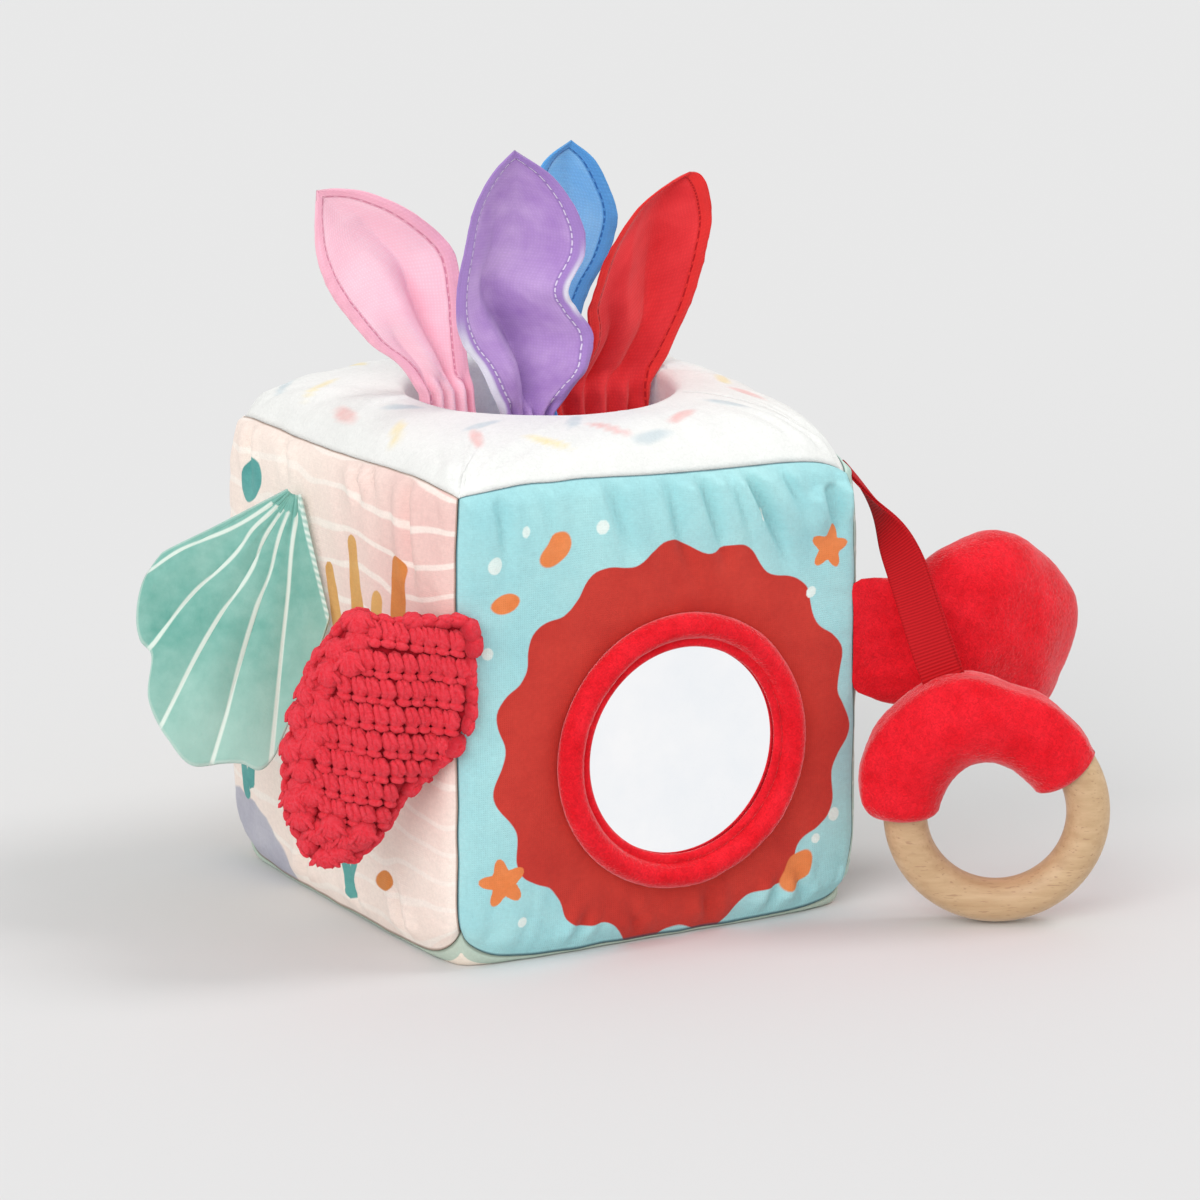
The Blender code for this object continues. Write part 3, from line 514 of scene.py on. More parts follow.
def makeBottomCover():
    material = printedCotton("sage cotton", "#C2D0C2", "#B2C3B4",
                             [("creamField", "#F6EADC", "#EFDFCE", 0.18)], seamThreadAndShade="#8E9C8C")
    bulge, toeRise = 0.4 * mm, 2.6 * mm

    def pointAt(u, v):
        a, b = spread(u), spread(v)
        m = max(abs(a), abs(b), 1e-6)
        base = Vector((a / m * blockHalf.x, -b / m * blockHalf.y, -blockHalf.z))
        seam = blockMiddle + roundCorner(base) + seamPull(base)
        inward = -Vector((seam.x, seam.y, 0)).normalized()
        length = Vector((base.x, base.y)).length
        toe = seam.z + toeRise
        run = (1 - m) * length
        turn = math.pi / 2 * min(run / toe, 1.0)
        plan = seam + inward * (toeRise * (1 - math.cos(turn)) - bulge * math.sin(2 * turn))
        if run > toe:
            rest = (run - toe) / (length - toe)
            plan = plan.lerp(Vector((0, 0, 0)), rest)
        height = seam.z * (1 - math.sin(turn))
        return Vector((plan.x, plan.y, max(height, 0.0)))

    def edgeRun(u, v):
        a, b = abs(spread(u)), abs(spread(v))
        return min((1 - a) * blockHalf.x, (1 - b) * blockHalf.y) / mm

    mesh = movedGrid(block["cells"]["bottom"], block["cells"]["bottom"], pointAt,
                     lambda u, v: (spread(u) * blockHalf.x, spread(v) * blockHalf.y),
                     {"seamDistance": edgeRun, "creamField": lambda u, v: 3.4 - edgeRun(u, v)})
    # the mirrored grid faces down, so the thickness goes up from the floor
    cover = addPiece("cover_bottom", mesh, material, "block", ["bottom_cover"])
    addThickness(cover, block["cloth"], -1.0)
    print("bottom cover made", flush=True)


# Domed plush top with its rolled lip and collar

top = {"radius": 37 * mm, "dome": 12 * mm, "lip": 3 * mm, "collarFoot": 120.5 * mm,
       "around": 248, "along": 60,
       "domeEnd": 0.78, "lipEnd": 0.88}     # shares of the cloth where the dome and the lip end
whitePlush = {"bright": "#F2F3F0", "dark": "#EBECE9", "glow": "#FFFFFF", "sheen": 0.12, "patch": 22,
              "pile": 1.4, "tuftShades": (0.945, 1.01), "depth": 0.35}
redPlushLook = {"bright": "#F42634", "dark": "#E01421", "glow": "#FFC4C6", "sheen": 1.0, "patch": 9,
                "pile": 1.0, "tuftShades": (0.78, 1.08), "depth": 0.55}
# pastel dashes: (x, y, angle, tint) in millimetres and radians
confetti = [
    (-55, -20, 0.9, "yellowDash"), (-50, 34, 0.3, "yellowDash"), (-28, -54, 2.4, "yellowDash"),
    (48, -18, 1.2, "yellowDash"), (-30, 50, 1.4, "yellowDash"), (30, 56, 0.4, "yellowDash"),
    (52, 46, 2.4, "yellowDash"), (-8, -52, 2.2, "coralDash"), (16, -50, 0.5, "coralDash"),
    (46, -34, 1.9, "coralDash"), (-56, 8, 1.5, "coralDash"), (50, 20, 0.7, "coralDash"),
    (4, 52, 2.6, "coralDash"), (-44, -44, 1.2, "coralDash"), (-38, -36, 0.2, "greyDash"),
    (34, -44, 2.5, "greyDash"), (56, 2, 1.5, "greyDash"), (-46, -6, 2.2, "greyDash"),
    (-52, 52, 0.8, "greyDash"), (22, 44, 2.0, "greyDash"), (2, -58, 0.1, "greyDash"),
    (-14, -44, 0.9, "greyDash"),
]


def squareTurn(turn, half):
    # a point on the seam's square outline, turn from 0 to 1 round it
    quarter = min(int(turn * 4), 3)
    beside = math.sin(math.pi / 2 * (2 * (turn * 4 - quarter) - 1))
    x, y = ((1, beside), (-beside, 1), (-1, -beside), (beside, -1))[quarter]
    return Vector((x * half.x, y * half.y, half.z))


def topPoint(turn, place):
    # place runs from the seam over the dome and the lip down the collar
    angle = 2 * math.pi * turn - math.pi / 4
    ray = Vector((math.cos(angle), math.sin(angle), 0))
    lipTop = block["top"] + top["dome"]
    mouth = top["radius"] + top["lip"]
    ruffle = noise.noise(ray * 2.2 + up * 5) * 1.2 * mm
    if place <= top["domeEnd"]:
        share = place / top["domeEnd"]
        share = 1 - 0.5 * math.sin(math.pi / 2 * share) - 0.5 * share
        base = squareTurn(turn, blockHalf)
        seam = blockMiddle + roundCorner(base) + seamPull(base)
        near = ray * mouth
        plan = Vector((near.x, near.y, 0)).lerp(Vector((seam.x, seam.y, 0)), share)
        sink = (block["top"] - seam.z) * share**3
        height = block["top"] + top["dome"] * (1 - share**2.5) ** 0.8 - sink
        edge = (1 - share) * (Vector((seam.x, seam.y, 0)) - near).length
        run = turn * 4 * block["width"]
        soft = gathers(run, edge, 31, 12 * mm, 5.4 * mm) * (1 - max(1 - edge / block["seamReach"], 0))
        uneven = noiseAt(plan.x / (30 * mm), plan.y / (30 * mm), 2) * 0.9 * mm * (1 - share)
        nearLip = between(0.35, 0.0, share)
        return Vector((plan.x, plan.y, height + soft + uneven)) + (ray * 0.6 + up * 0.4) * ruffle * nearLip
    if place <= top["lipEnd"]:
        bend = math.pi / 2 * (place - top["domeEnd"]) / (top["lipEnd"] - top["domeEnd"])
        radius = mouth - top["lip"] * math.sin(bend)
        height = lipTop - top["lip"] * (1 - math.cos(bend))
        point = ray * radius + up * height
        uneven = noiseAt(ray.x * mouth / (30 * mm), ray.y * mouth / (30 * mm), 2) * 0.9 * mm
        return point + up * (uneven + ruffle * 0.4) * math.cos(bend) + ray * ruffle * 0.6
    share = (place - top["lipEnd"]) / (1 - top["lipEnd"])
    height = (lipTop - top["lip"]) * (1 - share) + top["collarFoot"] * share
    folds = noise.noise(ray * 6 + up * share) * 0.5 * mm * math.sin(math.pi * share)
    return ray * (top["radius"] + folds) + up * height + ray * ruffle * 0.6 * (1 - share)


def makeTop():
    dashes = {}
    for x, y, angle, tint in confetti:
        dashes.setdefault(tint, []).append((x, y, 1.7, 0, 0, angle, 3.4))

    def dash(tint):
        def amount(u, v):
            point = topPoint(u, v) / mm
            distance = min(lobed(point.x, point.y, shape) for shape in dashes[tint])
            streak = 0.75 + 0.25 * noiseAt(point.x / 3, point.y / 3, 9)
            return 0.9 * between(0.7, -0.7, distance) * streak * (1.0 if point.z > 126 else 0.0)
        return amount

    material = shortPlush("white short-pile plush", whitePlush,
                          [("yellowDash", "#F5E4AC"), ("coralDash", "#F1B9B4"), ("greyDash", "#C4D3D9")])
    mesh = movedGrid(top["around"], top["along"], topPoint, None, {tint: dash(tint) for tint in dashes})
    closeSeams(mesh)
    cover = addPiece("plush_top", mesh, material, "block", ["top_cover"])
    addThickness(cover, block["cloth"], -1.0)
    print("plush top made", flush=True)


# Pocket lining: neck, walls and floor of a cotton bag

def makeLining():
    half = Vector((53.2 * mm, 56.2 * mm, 54.4 * mm))
    stations = [  # (share of the way from the round neck to the square wall, height)
        (0.0, 120.2 * mm), (0.5, 120.0 * mm), (1.0, 119.6 * mm), (1.0, 66 * mm), (1.0, 13.0 * mm),
        (0.5, 12.2 * mm), (0.0, 12.1 * mm), (-1.0, 12.1 * mm),
    ]

    def pointAt(turn, place):
        step = min(int(place * 7), 6)
        t = place * 7 - step
        share = stations[step][0] * (1 - t) + stations[step + 1][0] * t
        height = stations[step][1] * (1 - t) + stations[step + 1][1] * t
        angle = 2 * math.pi * turn - math.pi / 4
        neck = Vector((math.cos(angle), math.sin(angle), 0)) * 36.6 * mm
        wall = squareTurn(turn, half)
        wall.z = 0
        plan = neck.lerp(wall, share) if share >= 0 else neck * (1 + share)
        crumple = noiseAt(plan.x / (16 * mm), plan.y / (16 * mm), height / (16 * mm)) * 0.8 * mm
        inward = -Vector((plan.x, plan.y, 0)).normalized() if plan.length > 1e-6 else Vector()
        return plan + up * height + inward * abs(crumple) * min(max(share, 0.0), 1.0)

    # Bleached lining cotton, plain weave: matt and slightly creased.
    material, tree = newMaterial("white lining cotton", Roughness=0.9, Sheen_Weight=0.1)
    place = addNode(tree, "TexCoord").outputs["Object"]
    setLook(tree, mottled(tree, place, 22 * mm, "#F2F0EC", "#E6E3DE"),
            threadBump(tree, place, 0.6 * mm, 0.1 * mm)[0])
    mesh = movedGrid(96, 70, pointAt)
    closeSeams(mesh)
    bag = addPiece("lining_bag", mesh, material, "block", ["pocket_lining"])
    addThickness(bag, 0.5 * mm, 0.0)
    print("lining made", flush=True)


makeSideCovers()
makeBottomCover()
makeTop()
makeLining()

# Mirror disc and its plush frame

redPlush = shortPlush("red short-pile plush", redPlushLook)


def makeMirror():
    # Acrylic sheet with a vacuum-coated back: silver, with faint cool clouds.
    finish, tree = newMaterial("acrylic mirror", Metallic=1.0, Roughness=0.04)
    place = addNode(tree, "TexCoord").outputs["Object"]
    setLook(tree, mottled(tree, place, 26 * mm, "#FDFDFE", "#F3F6FA"))
    setFinish("mirror_disc", finish)

    # (radius, height off the panel) from the outer foot over the tube, the sewn groove and the flange
    profile = [(37.2, 0.3), (38.0, 1.4), (38.3, 2.8), (37.9, 4.4), (36.8, 5.9), (35.2, 6.7), (33.6, 6.6),
               (32.3, 5.6), (31.6, 4.3), (31.2, 3.6), (30.6, 3.9), (29.7, 3.9), (29.0, 3.2), (28.9, 2.4),
               (29.6, 2.1), (30.8, 2.1), (30.9, 0.4), (33.0, 0.3), (37.2, 0.3)]
    radii = [(index / (len(profile) - 1), pair[0]) for index, pair in enumerate(profile)]
    heights = [(index / (len(profile) - 1), pair[1]) for index, pair in enumerate(profile)]
    tubeEnd = 0.66      # share of the profile that is free, stuffed tube

    def pointAt(turn, place):
        angle = 2 * math.pi * turn
        radius, height = shareAt(radii, place), shareAt(heights, place)
        ray = Vector((math.cos(angle), 0, math.sin(angle)))
        lump = noise.noise(ray * 3.1 + up * place) * 0.35 + noise.noise(ray * 22 + up * place * 12) * 0.16
        free = math.sin(math.pi * place / tubeEnd) if place < tubeEnd else 0.0
        radius += lump * free * (1 if radius > 34 else -0.4)
        height += lump * free
        middle = Vector((mirror["x"], -mirror["face"], mirror["z"]))
        return middle + ray * radius * mm - Vector((0, height * mm, 0))

    mesh = movedGrid(180, 46, pointAt, wrapped=True)
    tube = addPiece("mirror_tube", mesh, redPlush, "block", ["mirror_frame"])
    print("mirror frame made", flush=True)


makeMirror()


# Scarves: square cotton cloths, hung by a corner in the pocket. Outlines are (x, z) in millimetres, from the
# mouth to the tip. A crease is (p, t, p, t, depth, half width): p across from -1 to 1, t up the leaf.

scarves = {
    "scarf_pink": {
        "foot": (-25.5, 2.0), "lean": (2.0, 5.0), "folds": 3, "seed": 1, "cup": 7.5,
        "left": [(-35.6, 142), (-42.4, 151.4), (-50.6, 157.6), (-58, 166), (-63.5, 173.2), (-67.3, 182),
                 (-67.5, 191), (-66.6, 197), (-65.7, 201.5)],
        "right": [(-20, 142), (-21, 150), (-22, 160), (-23.3, 171), (-26.5, 182.6), (-38.2, 193.2),
                  (-50.7, 199.7), (-60, 201.6), (-65.7, 201.5)],
        "creases": [(0.42, -0.1, 0.26, 0.80, 9.0, 0.22), (-0.45, -0.1, -0.40, 0.45, 3.4, 0.24),
                    (0.0, -0.1, -0.08, 0.75, -4.0, 0.34)],
        "reverseEdges": [],
        "colour": "#FFDAE4", "shade": "#FBC2D2", "hem": "#F9B9CB", "thread": "#E190A8",
        "reverse": "#F7CBD8",
    },
    "scarf_purple": {
        "foot": (-13.0, -17.0), "lean": (-17.0, -23.0), "folds": 3, "seed": 2, "cup": 9.0,
        "left": [(-20.5, 138), (-24.9, 145), (-29.3, 153.6), (-34.6, 159.9), (-38, 168), (-38.1, 178),
                 (-36, 189.5), (-33.2, 200), (-27.2, 208.2), (-20.4, 212.8)],
        "right": [(-6, 138), (-1, 145.4), (2.9, 151), (4.6, 159.5), (-0.8, 167.2), (-3.9, 173.2),
                  (0.9, 183.6), (-1.6, 193.4), (-8.6, 204), (-20.4, 212.8)],
        "creases": [(0.14, -0.1, -0.02, 0.70, 11.0, 0.20), (0.0, 0.25, -0.45, 0.88, 5.0, 0.22),
                    (0.85, -0.2, 0.80, 0.50, -5.0, 0.40), (-0.5, -0.1, -0.42, 0.80, -3.6, 0.30)],
        "reverseEdges": [(-1, -0.10, 0.38, 2.2), (1, 0.42, 0.62, 1.5)],
        "colour": "#CAABDC", "shade": "#9A71BB", "hem": "#A482C4", "thread": "#DDD0EA",
        "reverse": "#D9D6E4",
    },
    "scarf_blue": {
        "foot": (16.0, 19.0), "lean": (19.0, 24.0), "folds": 3, "seed": 3, "cup": 7.0,
        "left": [(8, 142), (8.5, 152), (8, 163), (7, 174), (7, 184), (9, 192), (14.5, 199), (23.8, 203.3)],
        "right": [(24, 142), (24, 153), (28, 162), (33, 170), (35.8, 178), (35.5, 185.5), (30.5, 197),
                  (23.8, 203.3)],
        "creases": [(0.3, -0.1, 0.1, 0.9, 5.6, 0.26), (-0.4, 0.1, -0.3, 0.9, -3.0, 0.4)],
        "reverseEdges": [],
        "colour": "#92CEF6", "shade": "#66AEEA", "hem": "#5AA2E0", "thread": "#3370B6",
        "reverse": "#6BA5DC",
    },
    "scarf_red": {
        "foot": (21.0, -1.0), "lean": (-1.0, -5.0), "folds": 3, "seed": 4, "cup": 7.0,
        "left": [(3.6, 138), (8.4, 142.6), (13.6, 149), (14.2, 154.6), (12.8, 161), (14.4, 167),
                 (18.2, 177), (27, 188.2), (36.5, 194), (44.9, 197.3)],
        "right": [(35.0, 138), (40.6, 146), (46.2, 157.3), (49.3, 167), (50.8, 176), (52, 184.2),
                  (50.8, 190.4), (48.8, 195.2), (47, 197), (44.9, 197.3)],
        "creases": [(-0.10, -0.1, -0.70, 0.50, 7.0, 0.18), (0.40, -0.1, 0.10, 0.90, 6.0, 0.26),
                    (-0.3, 0.1, -0.4, 0.9, -3.0, 0.3)],
        "reverseEdges": [],
        "colour": "#EE4044", "shade": "#D0262C", "hem": "#E0302F", "thread": "#B4141C",
        "reverse": "#D93A40",
    },
}
scarfForm = {"columns": 72, "rows": 130, "tailShare": 0.56, "side": 138 * mm, "cloth": 0.5 * mm,
             "pocketFloor": 12.8}


def scarfCotton(name, look):
    # Plain cotton voile with rolled hems: soft, slightly rough, a running stitch 4 mm in from the edge.
    # The emission is a painted glow in the cloth's own colour, standing for the light that comes through
    # such thin cloth.
    material, tree = newMaterial(name, Roughness=0.82, Sheen_Weight=0.2, Sheen_Roughness=0.4,
                                 Specular_IOR_Level=0.2, Emission_Strength=0.11)
    cloth = addNode(tree, "TexCoord").outputs["UV"]
    run, edge = addNode(tree, "SeparateXYZ", {0: cloth}).outputs[:2]
    colour = mottled(tree, cloth, 14 * mm, look["shade"], look["colour"], 0.3)
    colour = paintOver(tree, colour, look["hem"], edge, 4.6 * mm, 4.1 * mm)
    # threads drawn 0.9 mm apart, coarser than real ones, so that they show
    weave, threads = threadBump(tree, cloth, 0.9 * mm, 0.10 * mm)
    colour = shadeBy(tree, colour, threads, 0.0, 1.0, 0.93, 1.03)
    # running stitch: dashes 2.4 mm apart
    offLine = addNode(tree, "Math", {0: edge, 1: 3.8 * mm}, operation="SUBTRACT").outputs[0]
    offLine = addNode(tree, "Math", {0: offLine}, operation="ABSOLUTE").outputs[0]
    onLine = addNode(tree, "MapRange", {0: offLine, 1: 0.32 * mm, 2: 0.16 * mm}).outputs[0]
    step = addNode(tree, "Math", {0: run, 1: 2.4 * mm}, operation="MODULO").outputs[0]
    dash = addNode(tree, "MapRange", {0: step, 1: 1.75 * mm, 2: 1.55 * mm}).outputs[0]
    stitch = addNode(tree, "Math", {0: onLine, 1: dash}, operation="MULTIPLY").outputs[0]
    colour = paintOver(tree, colour, look["thread"], stitch)
    colour = paintOver(tree, colour, look["reverse"], "reverseSide")
    hem = addNode(tree, "MapRange", {0: edge, 1: 4.7 * mm, 2: 3.6 * mm}).outputs[0]
    groove = addNode(tree, "Math", {0: hem, 1: onLine}, operation="SUBTRACT").outputs[0]
    raised = addNode(tree, "Bump", {"Height": groove, "Distance": 0.5 * mm, "Strength": 0.7,
                                    "Normal": weave})
    setLook(tree, colour, raised.outputs[0])
    # painted glow: the emission takes the cloth's colour
    tree.links.new(colour, tree.nodes["Principled BSDF"].inputs["Emission Color"])
    return material


def leafCrease(creases, p, t):
    # positive away from the viewer: a valley, sharp along its middle
    depth = 0.0
    for startP, startT, endP, endT, deep, width in creases:
        share = (t - startT) / (endT - startT)
        centre = startP + (endP - startP) * min(max(share, 0.0), 1.0)
        sharp = math.exp(0.25 - math.hypot((p - centre) / width, 0.25))
        depth += deep * sharp * (1 - between(0.4, 1.0, share)) * between(-0.1, 0.15, share)
    return depth


def makeScarf(name, look):
    footX, footY = look["foot"]
    leanHigh = look["lean"][1]
    outline = {}
    for side in ("left", "right"):
        count = len(look[side]) - 1
        outline[side] = [[(i / count, point[axis]) for i, point in enumerate(look[side])]
                         for axis in (0, 1)]
    mouthZ, tail, seed = look["left"][0][1], scarfForm["tailShare"], look["seed"]
    gatherDepth = 4.6

    def pleat(p):
        return math.cos((look["folds"] + 2) * math.pi * p * 0.88 + seed)

    def tailPoint(p, t):
        # from the pocket floor up to the mouth
        low, high = look["left"][0][0], look["right"][0][0]
        opened = smoothstep((t - 0.76) / 0.24)
        halfWidth = 8.5 + ((high - low) / 2 - 8.5) * opened
        middle = footX + ((high + low) / 2 - footX) * opened
        deep = 0.8 + (gatherDepth + 0.8) * smoothstep(t / 0.12) * (1 - 0.88 * opened)
        wander = Vector((noiseAt(p * 3, t * 7, seed + 5), noiseAt(p * 3, t * 9, seed)))
        height = scarfForm["pocketFloor"] + (mouthZ - scarfForm["pocketFloor"]) * t
        return Vector((middle + p * halfWidth + wander.x * 0.8 * (1 - opened),
                       footY + deep * pleat(p) + wander.y * 0.8 * (1 - opened), height)) * mm

    def leafPoint(p, t):
        left = Vector((shareAt(outline["left"][0], t), shareAt(outline["left"][1], t)))
        right = Vector((shareAt(outline["right"][0], t), shareAt(outline["right"][1], t)))
        place = left.lerp(right, (p + 1) / 2)
        wide = min((right - left).length / 30, 1.0)
        depth = footY + (leanHigh - footY) * t
        depth += (0.8 + (gatherDepth + 0.8) * 0.12) * pleat(p) * (1 - smoothstep(t / 0.1))
        depth += leafCrease(look["creases"], p, t) * wide * between(-0.02, 0.08, t)
        depth -= look["cup"] * (abs(p) ** 1.7 - 0.5) * smoothstep(t * 1.5) * wide
        depth += 1.0 * between(0.86, 1.0, abs(p)) * smoothstep(t * 4) * wide
        depth += noiseAt(place.x / 12, place.y / 12, seed) * 1.0 * wide * smoothstep(t * 6)
        depth += noiseAt(place.x / 2.4, place.y / 2.4, seed) * 0.4 * between(0.75, 0.92, abs(p)) * wide
        return Vector((place.x, depth, place.y)) * mm

    def pointAt(u, v):
        return tailPoint(2 * u - 1, v / tail) if v < tail else leafPoint(2 * u - 1, (v - tail) / (1 - tail))

    # cloth run along the hem and distance from it, measured on the finished form
    columns, rows = scarfForm["columns"], scarfForm["rows"]
    grid = [[pointAt(i / columns, j / rows) for i in range(columns + 1)] for j in range(rows + 1)]
    runs = [0.0]
    for j in range(rows):
        runs.append(runs[-1] + (grid[j + 1][0] - grid[j][0]).length)
    reaches = []
    for row in grid:
        steps = [(row[i + 1] - row[i]).length for i in range(columns)]
        total = sum(steps)
        walked = [sum(steps[:i]) for i in range(columns + 1)]
        reaches.append([min(w, total - w) for w in walked])

    def uvAt(u, v):
        i, j = round(u * columns), round(v * rows)
        return runs[j], reaches[j][i]

    def reverseSide(u, v):
        t, reach, shown = (v - tail) / (1 - tail), uvAt(u, v)[1] / mm, 0.0
        for side, low, high, width in look["reverseEdges"]:
            if (u < 0.5) == (side < 0):
                window = between(low - 0.05, low + 0.05, t) * between(high + 0.10, high - 0.06, t)
                shown = max(shown, between(width + 0.5, width - 0.4, reach) * window)
        return shown

    mesh = movedGrid(columns, rows, pointAt, uvAt, {"reverseSide": reverseSide})
    material = scarfCotton(name.replace("scarf_", "") + " cotton voile", look)
    cloth = addPiece(name.replace("scarf", "cloth"), mesh, material, name, [name])
    addThickness(cloth, scarfForm["cloth"], 0.0)


for scarfName, scarfLook in scarves.items():
    makeScarf(scarfName, scarfLook)
print("scarves made", flush=True)


# Shell flap: its outline and its rays are (degrees from the sewn line, millimetres from the apex)

shell = {
    "topY": 14.4 * mm, "topZ": 118.3 * mm, "apex": 3 * mm,
    "cloth": 0.7 * mm, "film": 0.2 * mm, "gap": 0.3 * mm, "flute": 1.5 * mm, "slant": 28.7, "layBack": 30.0,
    "outline": ((0, 37.7), (6, 46), (12.4, 58.9), (16.1, 67.5), (18.5, 75.8), (20.9, 79.3), (24.5, 78.3),
                (29, 79.6), (34.1, 82.2), (40, 78.4), (45, 74.5), (48.7, 70.5), (53.6, 61.6), (58.7, 60.4),
                (64.1, 56.8), (72.9, 48), (77.5, 41.5)),
    "rays": (((8, 66), (18, 68.6), (35, 74.3), (46, 73.5)),
             ((8, 55), (16, 58), (25, 54.6), (40, 57.2), (58, 55.3)),
             ((8, 43), (16, 45.5), (26, 41.2), (42, 43.9), (75, 42.7)),
             ((8, 31), (14, 32.7), (25, 30.3), (36, 31.8), (66, 30.3)),
             ((8, 14), (15, 18), (30, 18.3), (45, 18.7), (71, 18.8))),
    "rayAngles": (-8.0, 18.5, 30.5, 43.0, 56.5, 73.8, 90.0),
}


def shellFrame():
    slant, lay = math.radians(shell["slant"]), math.radians(shell["layBack"])
    down = Vector((0, -math.sin(slant), -math.cos(slant)))
    outward = Vector((-1, 0, 0)) * math.cos(lay) + down.cross(Vector((-1, 0, 0))) * math.sin(lay)
    off = block["width"] / 2 + block["crown"] + shell["cloth"] + 2 * shell["gap"] + shell["film"] / 2
    return Vector((-off, shell["topY"], shell["topZ"])), down, outward, down.cross(outward)


def shellPlace(u, v, inset=0.0):
    angle = shell["outline"][-1][0] * u
    reach = (shareAt(shell["outline"], angle) - inset) * mm
    return angle, shell["apex"] + (reach - shell["apex"]) * v, reach


def shellPoint(u, v, lift, curl=0.0, inset=0.0):
    apex, down, outward, normal = shellFrame()
    angle, radius, reach = shellPlace(u, v, inset)
    turn = math.radians(angle)
    free = smoothstep(radius * math.sin(turn) / (20 * mm))
    bounds = shell["rayAngles"]
    index = max(i for i in range(len(bounds) - 1) if angle >= bounds[i])
    ripple = math.sin(math.pi * (angle - bounds[index]) / (bounds[index + 1] - bounds[index])) ** 0.7
    far = radius / (80 * mm)
    height = lift - shell["flute"] * ripple * min(far * 1.6, 1.0) * free
    height += noiseAt(angle / 15, v * 3, 4) * 1.4 * mm * free
    # gathered at the apex, with the top facet and one scallop turned back
    gathers = noiseAt(angle / 5, 2, 8) * 1.5 * mm * math.exp(-radius / (9 * mm))
    height += gathers * between(0, 4 * mm, radius)
    height += 2.6 * mm * between(70, 77, angle) * far
    height += 1.6 * mm * between(0.8, 1.0, v) * free * noiseAt(angle / 9, 3, 1)
    spoke = down * math.cos(turn) + outward * math.sin(turn)
    return apex + spoke * radius + normal * (height + curl * between(0.9, 1.0, v) * free)


def makeShell():
    # Printed velvet: watercolour mint, pale wavy rays, a soft bloom on its pile.
    material, tree = newMaterial("mint velvet", Roughness=0.85, Sheen_Weight=0.35, Sheen_Roughness=0.4,
                                 Specular_IOR_Level=0.15)
    fan = addNode(tree, "TexCoord").outputs["UV"]
    alongSewn, offSewn = addNode(tree, "SeparateXYZ", {0: fan}).outputs[:2]
    wide = mottled(tree, fan, 26 * mm, "#67AA9D", "#96C5B9", 0.17)
    fine = mottled(tree, fan, 4 * mm, "#60A193", "#99C7BB", 0.2)
    colour = addNode(tree, "Mix", {0: 0.3, 6: wide, 7: fine}, data_type="RGBA").outputs[2]
    # lighter the farther it reaches from the apex along the sewn line
    colour = paintOver(tree, colour, "#BFDDD1", alongSewn, 34 * mm, 74 * mm, 0.55)
    colour = paintOver(tree, colour, "#E6F0E6", "rayDistance", 0.3, -0.1, 0.85)
    # overlocked edge beside the sewn line: pale thread wound round it every 1.1 mm
    rope = addNode(tree, "TexWave", {"Vector": fan, "Scale": 0.314159 / (1.1 * mm)},
                   bands_direction="DIAGONAL")
    twist = paintOver(tree, "#A5CCC0", "#DCEAE2", rope.outputs["Fac"])
    colour = paintOver(tree, colour, twist, offSewn, 1.3 * mm, 0.9 * mm)
    colour = paintOver(tree, colour, "#D3E7DD", "rimDistance", 1.0, 0.4, 0.5)
    pile = addNode(tree, "TexNoise", {"Vector": fan, "Scale": 1 / (0.7 * mm), "Detail": 3.0})
    bump = addNode(tree, "Bump", {"Height": pile.outputs["Fac"], "Distance": 0.25 * mm, "Strength": 0.4})
    setLook(tree, colour, bump.outputs[0])

    def uvAt(u, v):
        angle, radius, reach = shellPlace(u, v)
        return radius * math.cos(math.radians(angle)), radius * math.sin(math.radians(angle))

    def rayDistance(u, v):
        # millimetres outside the nearest ray, which widens outwards
        angle, radius, reach = shellPlace(u, v)
        r = radius / mm
        nearest = min(abs(angle - shareAt(path, r)) + (9 if r < path[0][0] else 0) for path in shell["rays"])
        return math.radians(nearest) * r - (0.34 + 0.003 * r)

    def rimDistance(u, v):
        angle, radius, reach = shellPlace(u, v)
        return min(reach - radius, (1 - u) * math.radians(shell["outline"][-1][0]) * radius + 0.3 * mm) / mm

    marks = {"rayDistance": rayDistance, "rimDistance": rimDistance}
    apex, _, outward, _ = shellFrame()
    bending = ("block", "shell_flap", apex - outward * mm, apex + outward * 7 * mm)
    lift = shell["film"] / 2 + shell["gap"] + shell["cloth"] / 2
    for name, side, node in (("velvet_front", -lift, "shell_front"), ("velvet_back", lift, "shell_back")):
        curl = -0.8 * math.copysign(lift - shell["cloth"] / 2, side)     # both hems meet at the rim
        mesh = movedGrid(190, 44, lambda u, v, side=side, curl=curl: shellPoint(u, v, side, curl), uvAt,
                         marks)
        cloth = addPiece(name, mesh, material, bending, [node])
        addThickness(cloth, shell["cloth"], 0.0)

    # Thin polyester film: clear and crinkled, it rustles between the velvets.
    film, tree = newMaterial("crinkle film", Roughness=0.25)
    setLook(tree, mottled(tree, addNode(tree, "TexCoord").outputs["Object"], 4 * mm, "#E9EDEE", "#D4DADC"))
    mesh = movedGrid(90, 40, lambda u, v: shellPoint(u, v * 0.97, 0.0, 0.0, 2.0), uvAt)
    sheet = addPiece("film_sheet", mesh, film, bending, ["shell_crinkle_film"])
    addThickness(sheet, shell["film"], 0.0)
    print("shell made", flush=True)


makeShell()


# Claws: stuffed pillows. Outlines are (out from the block's corner, height) in millimetres.

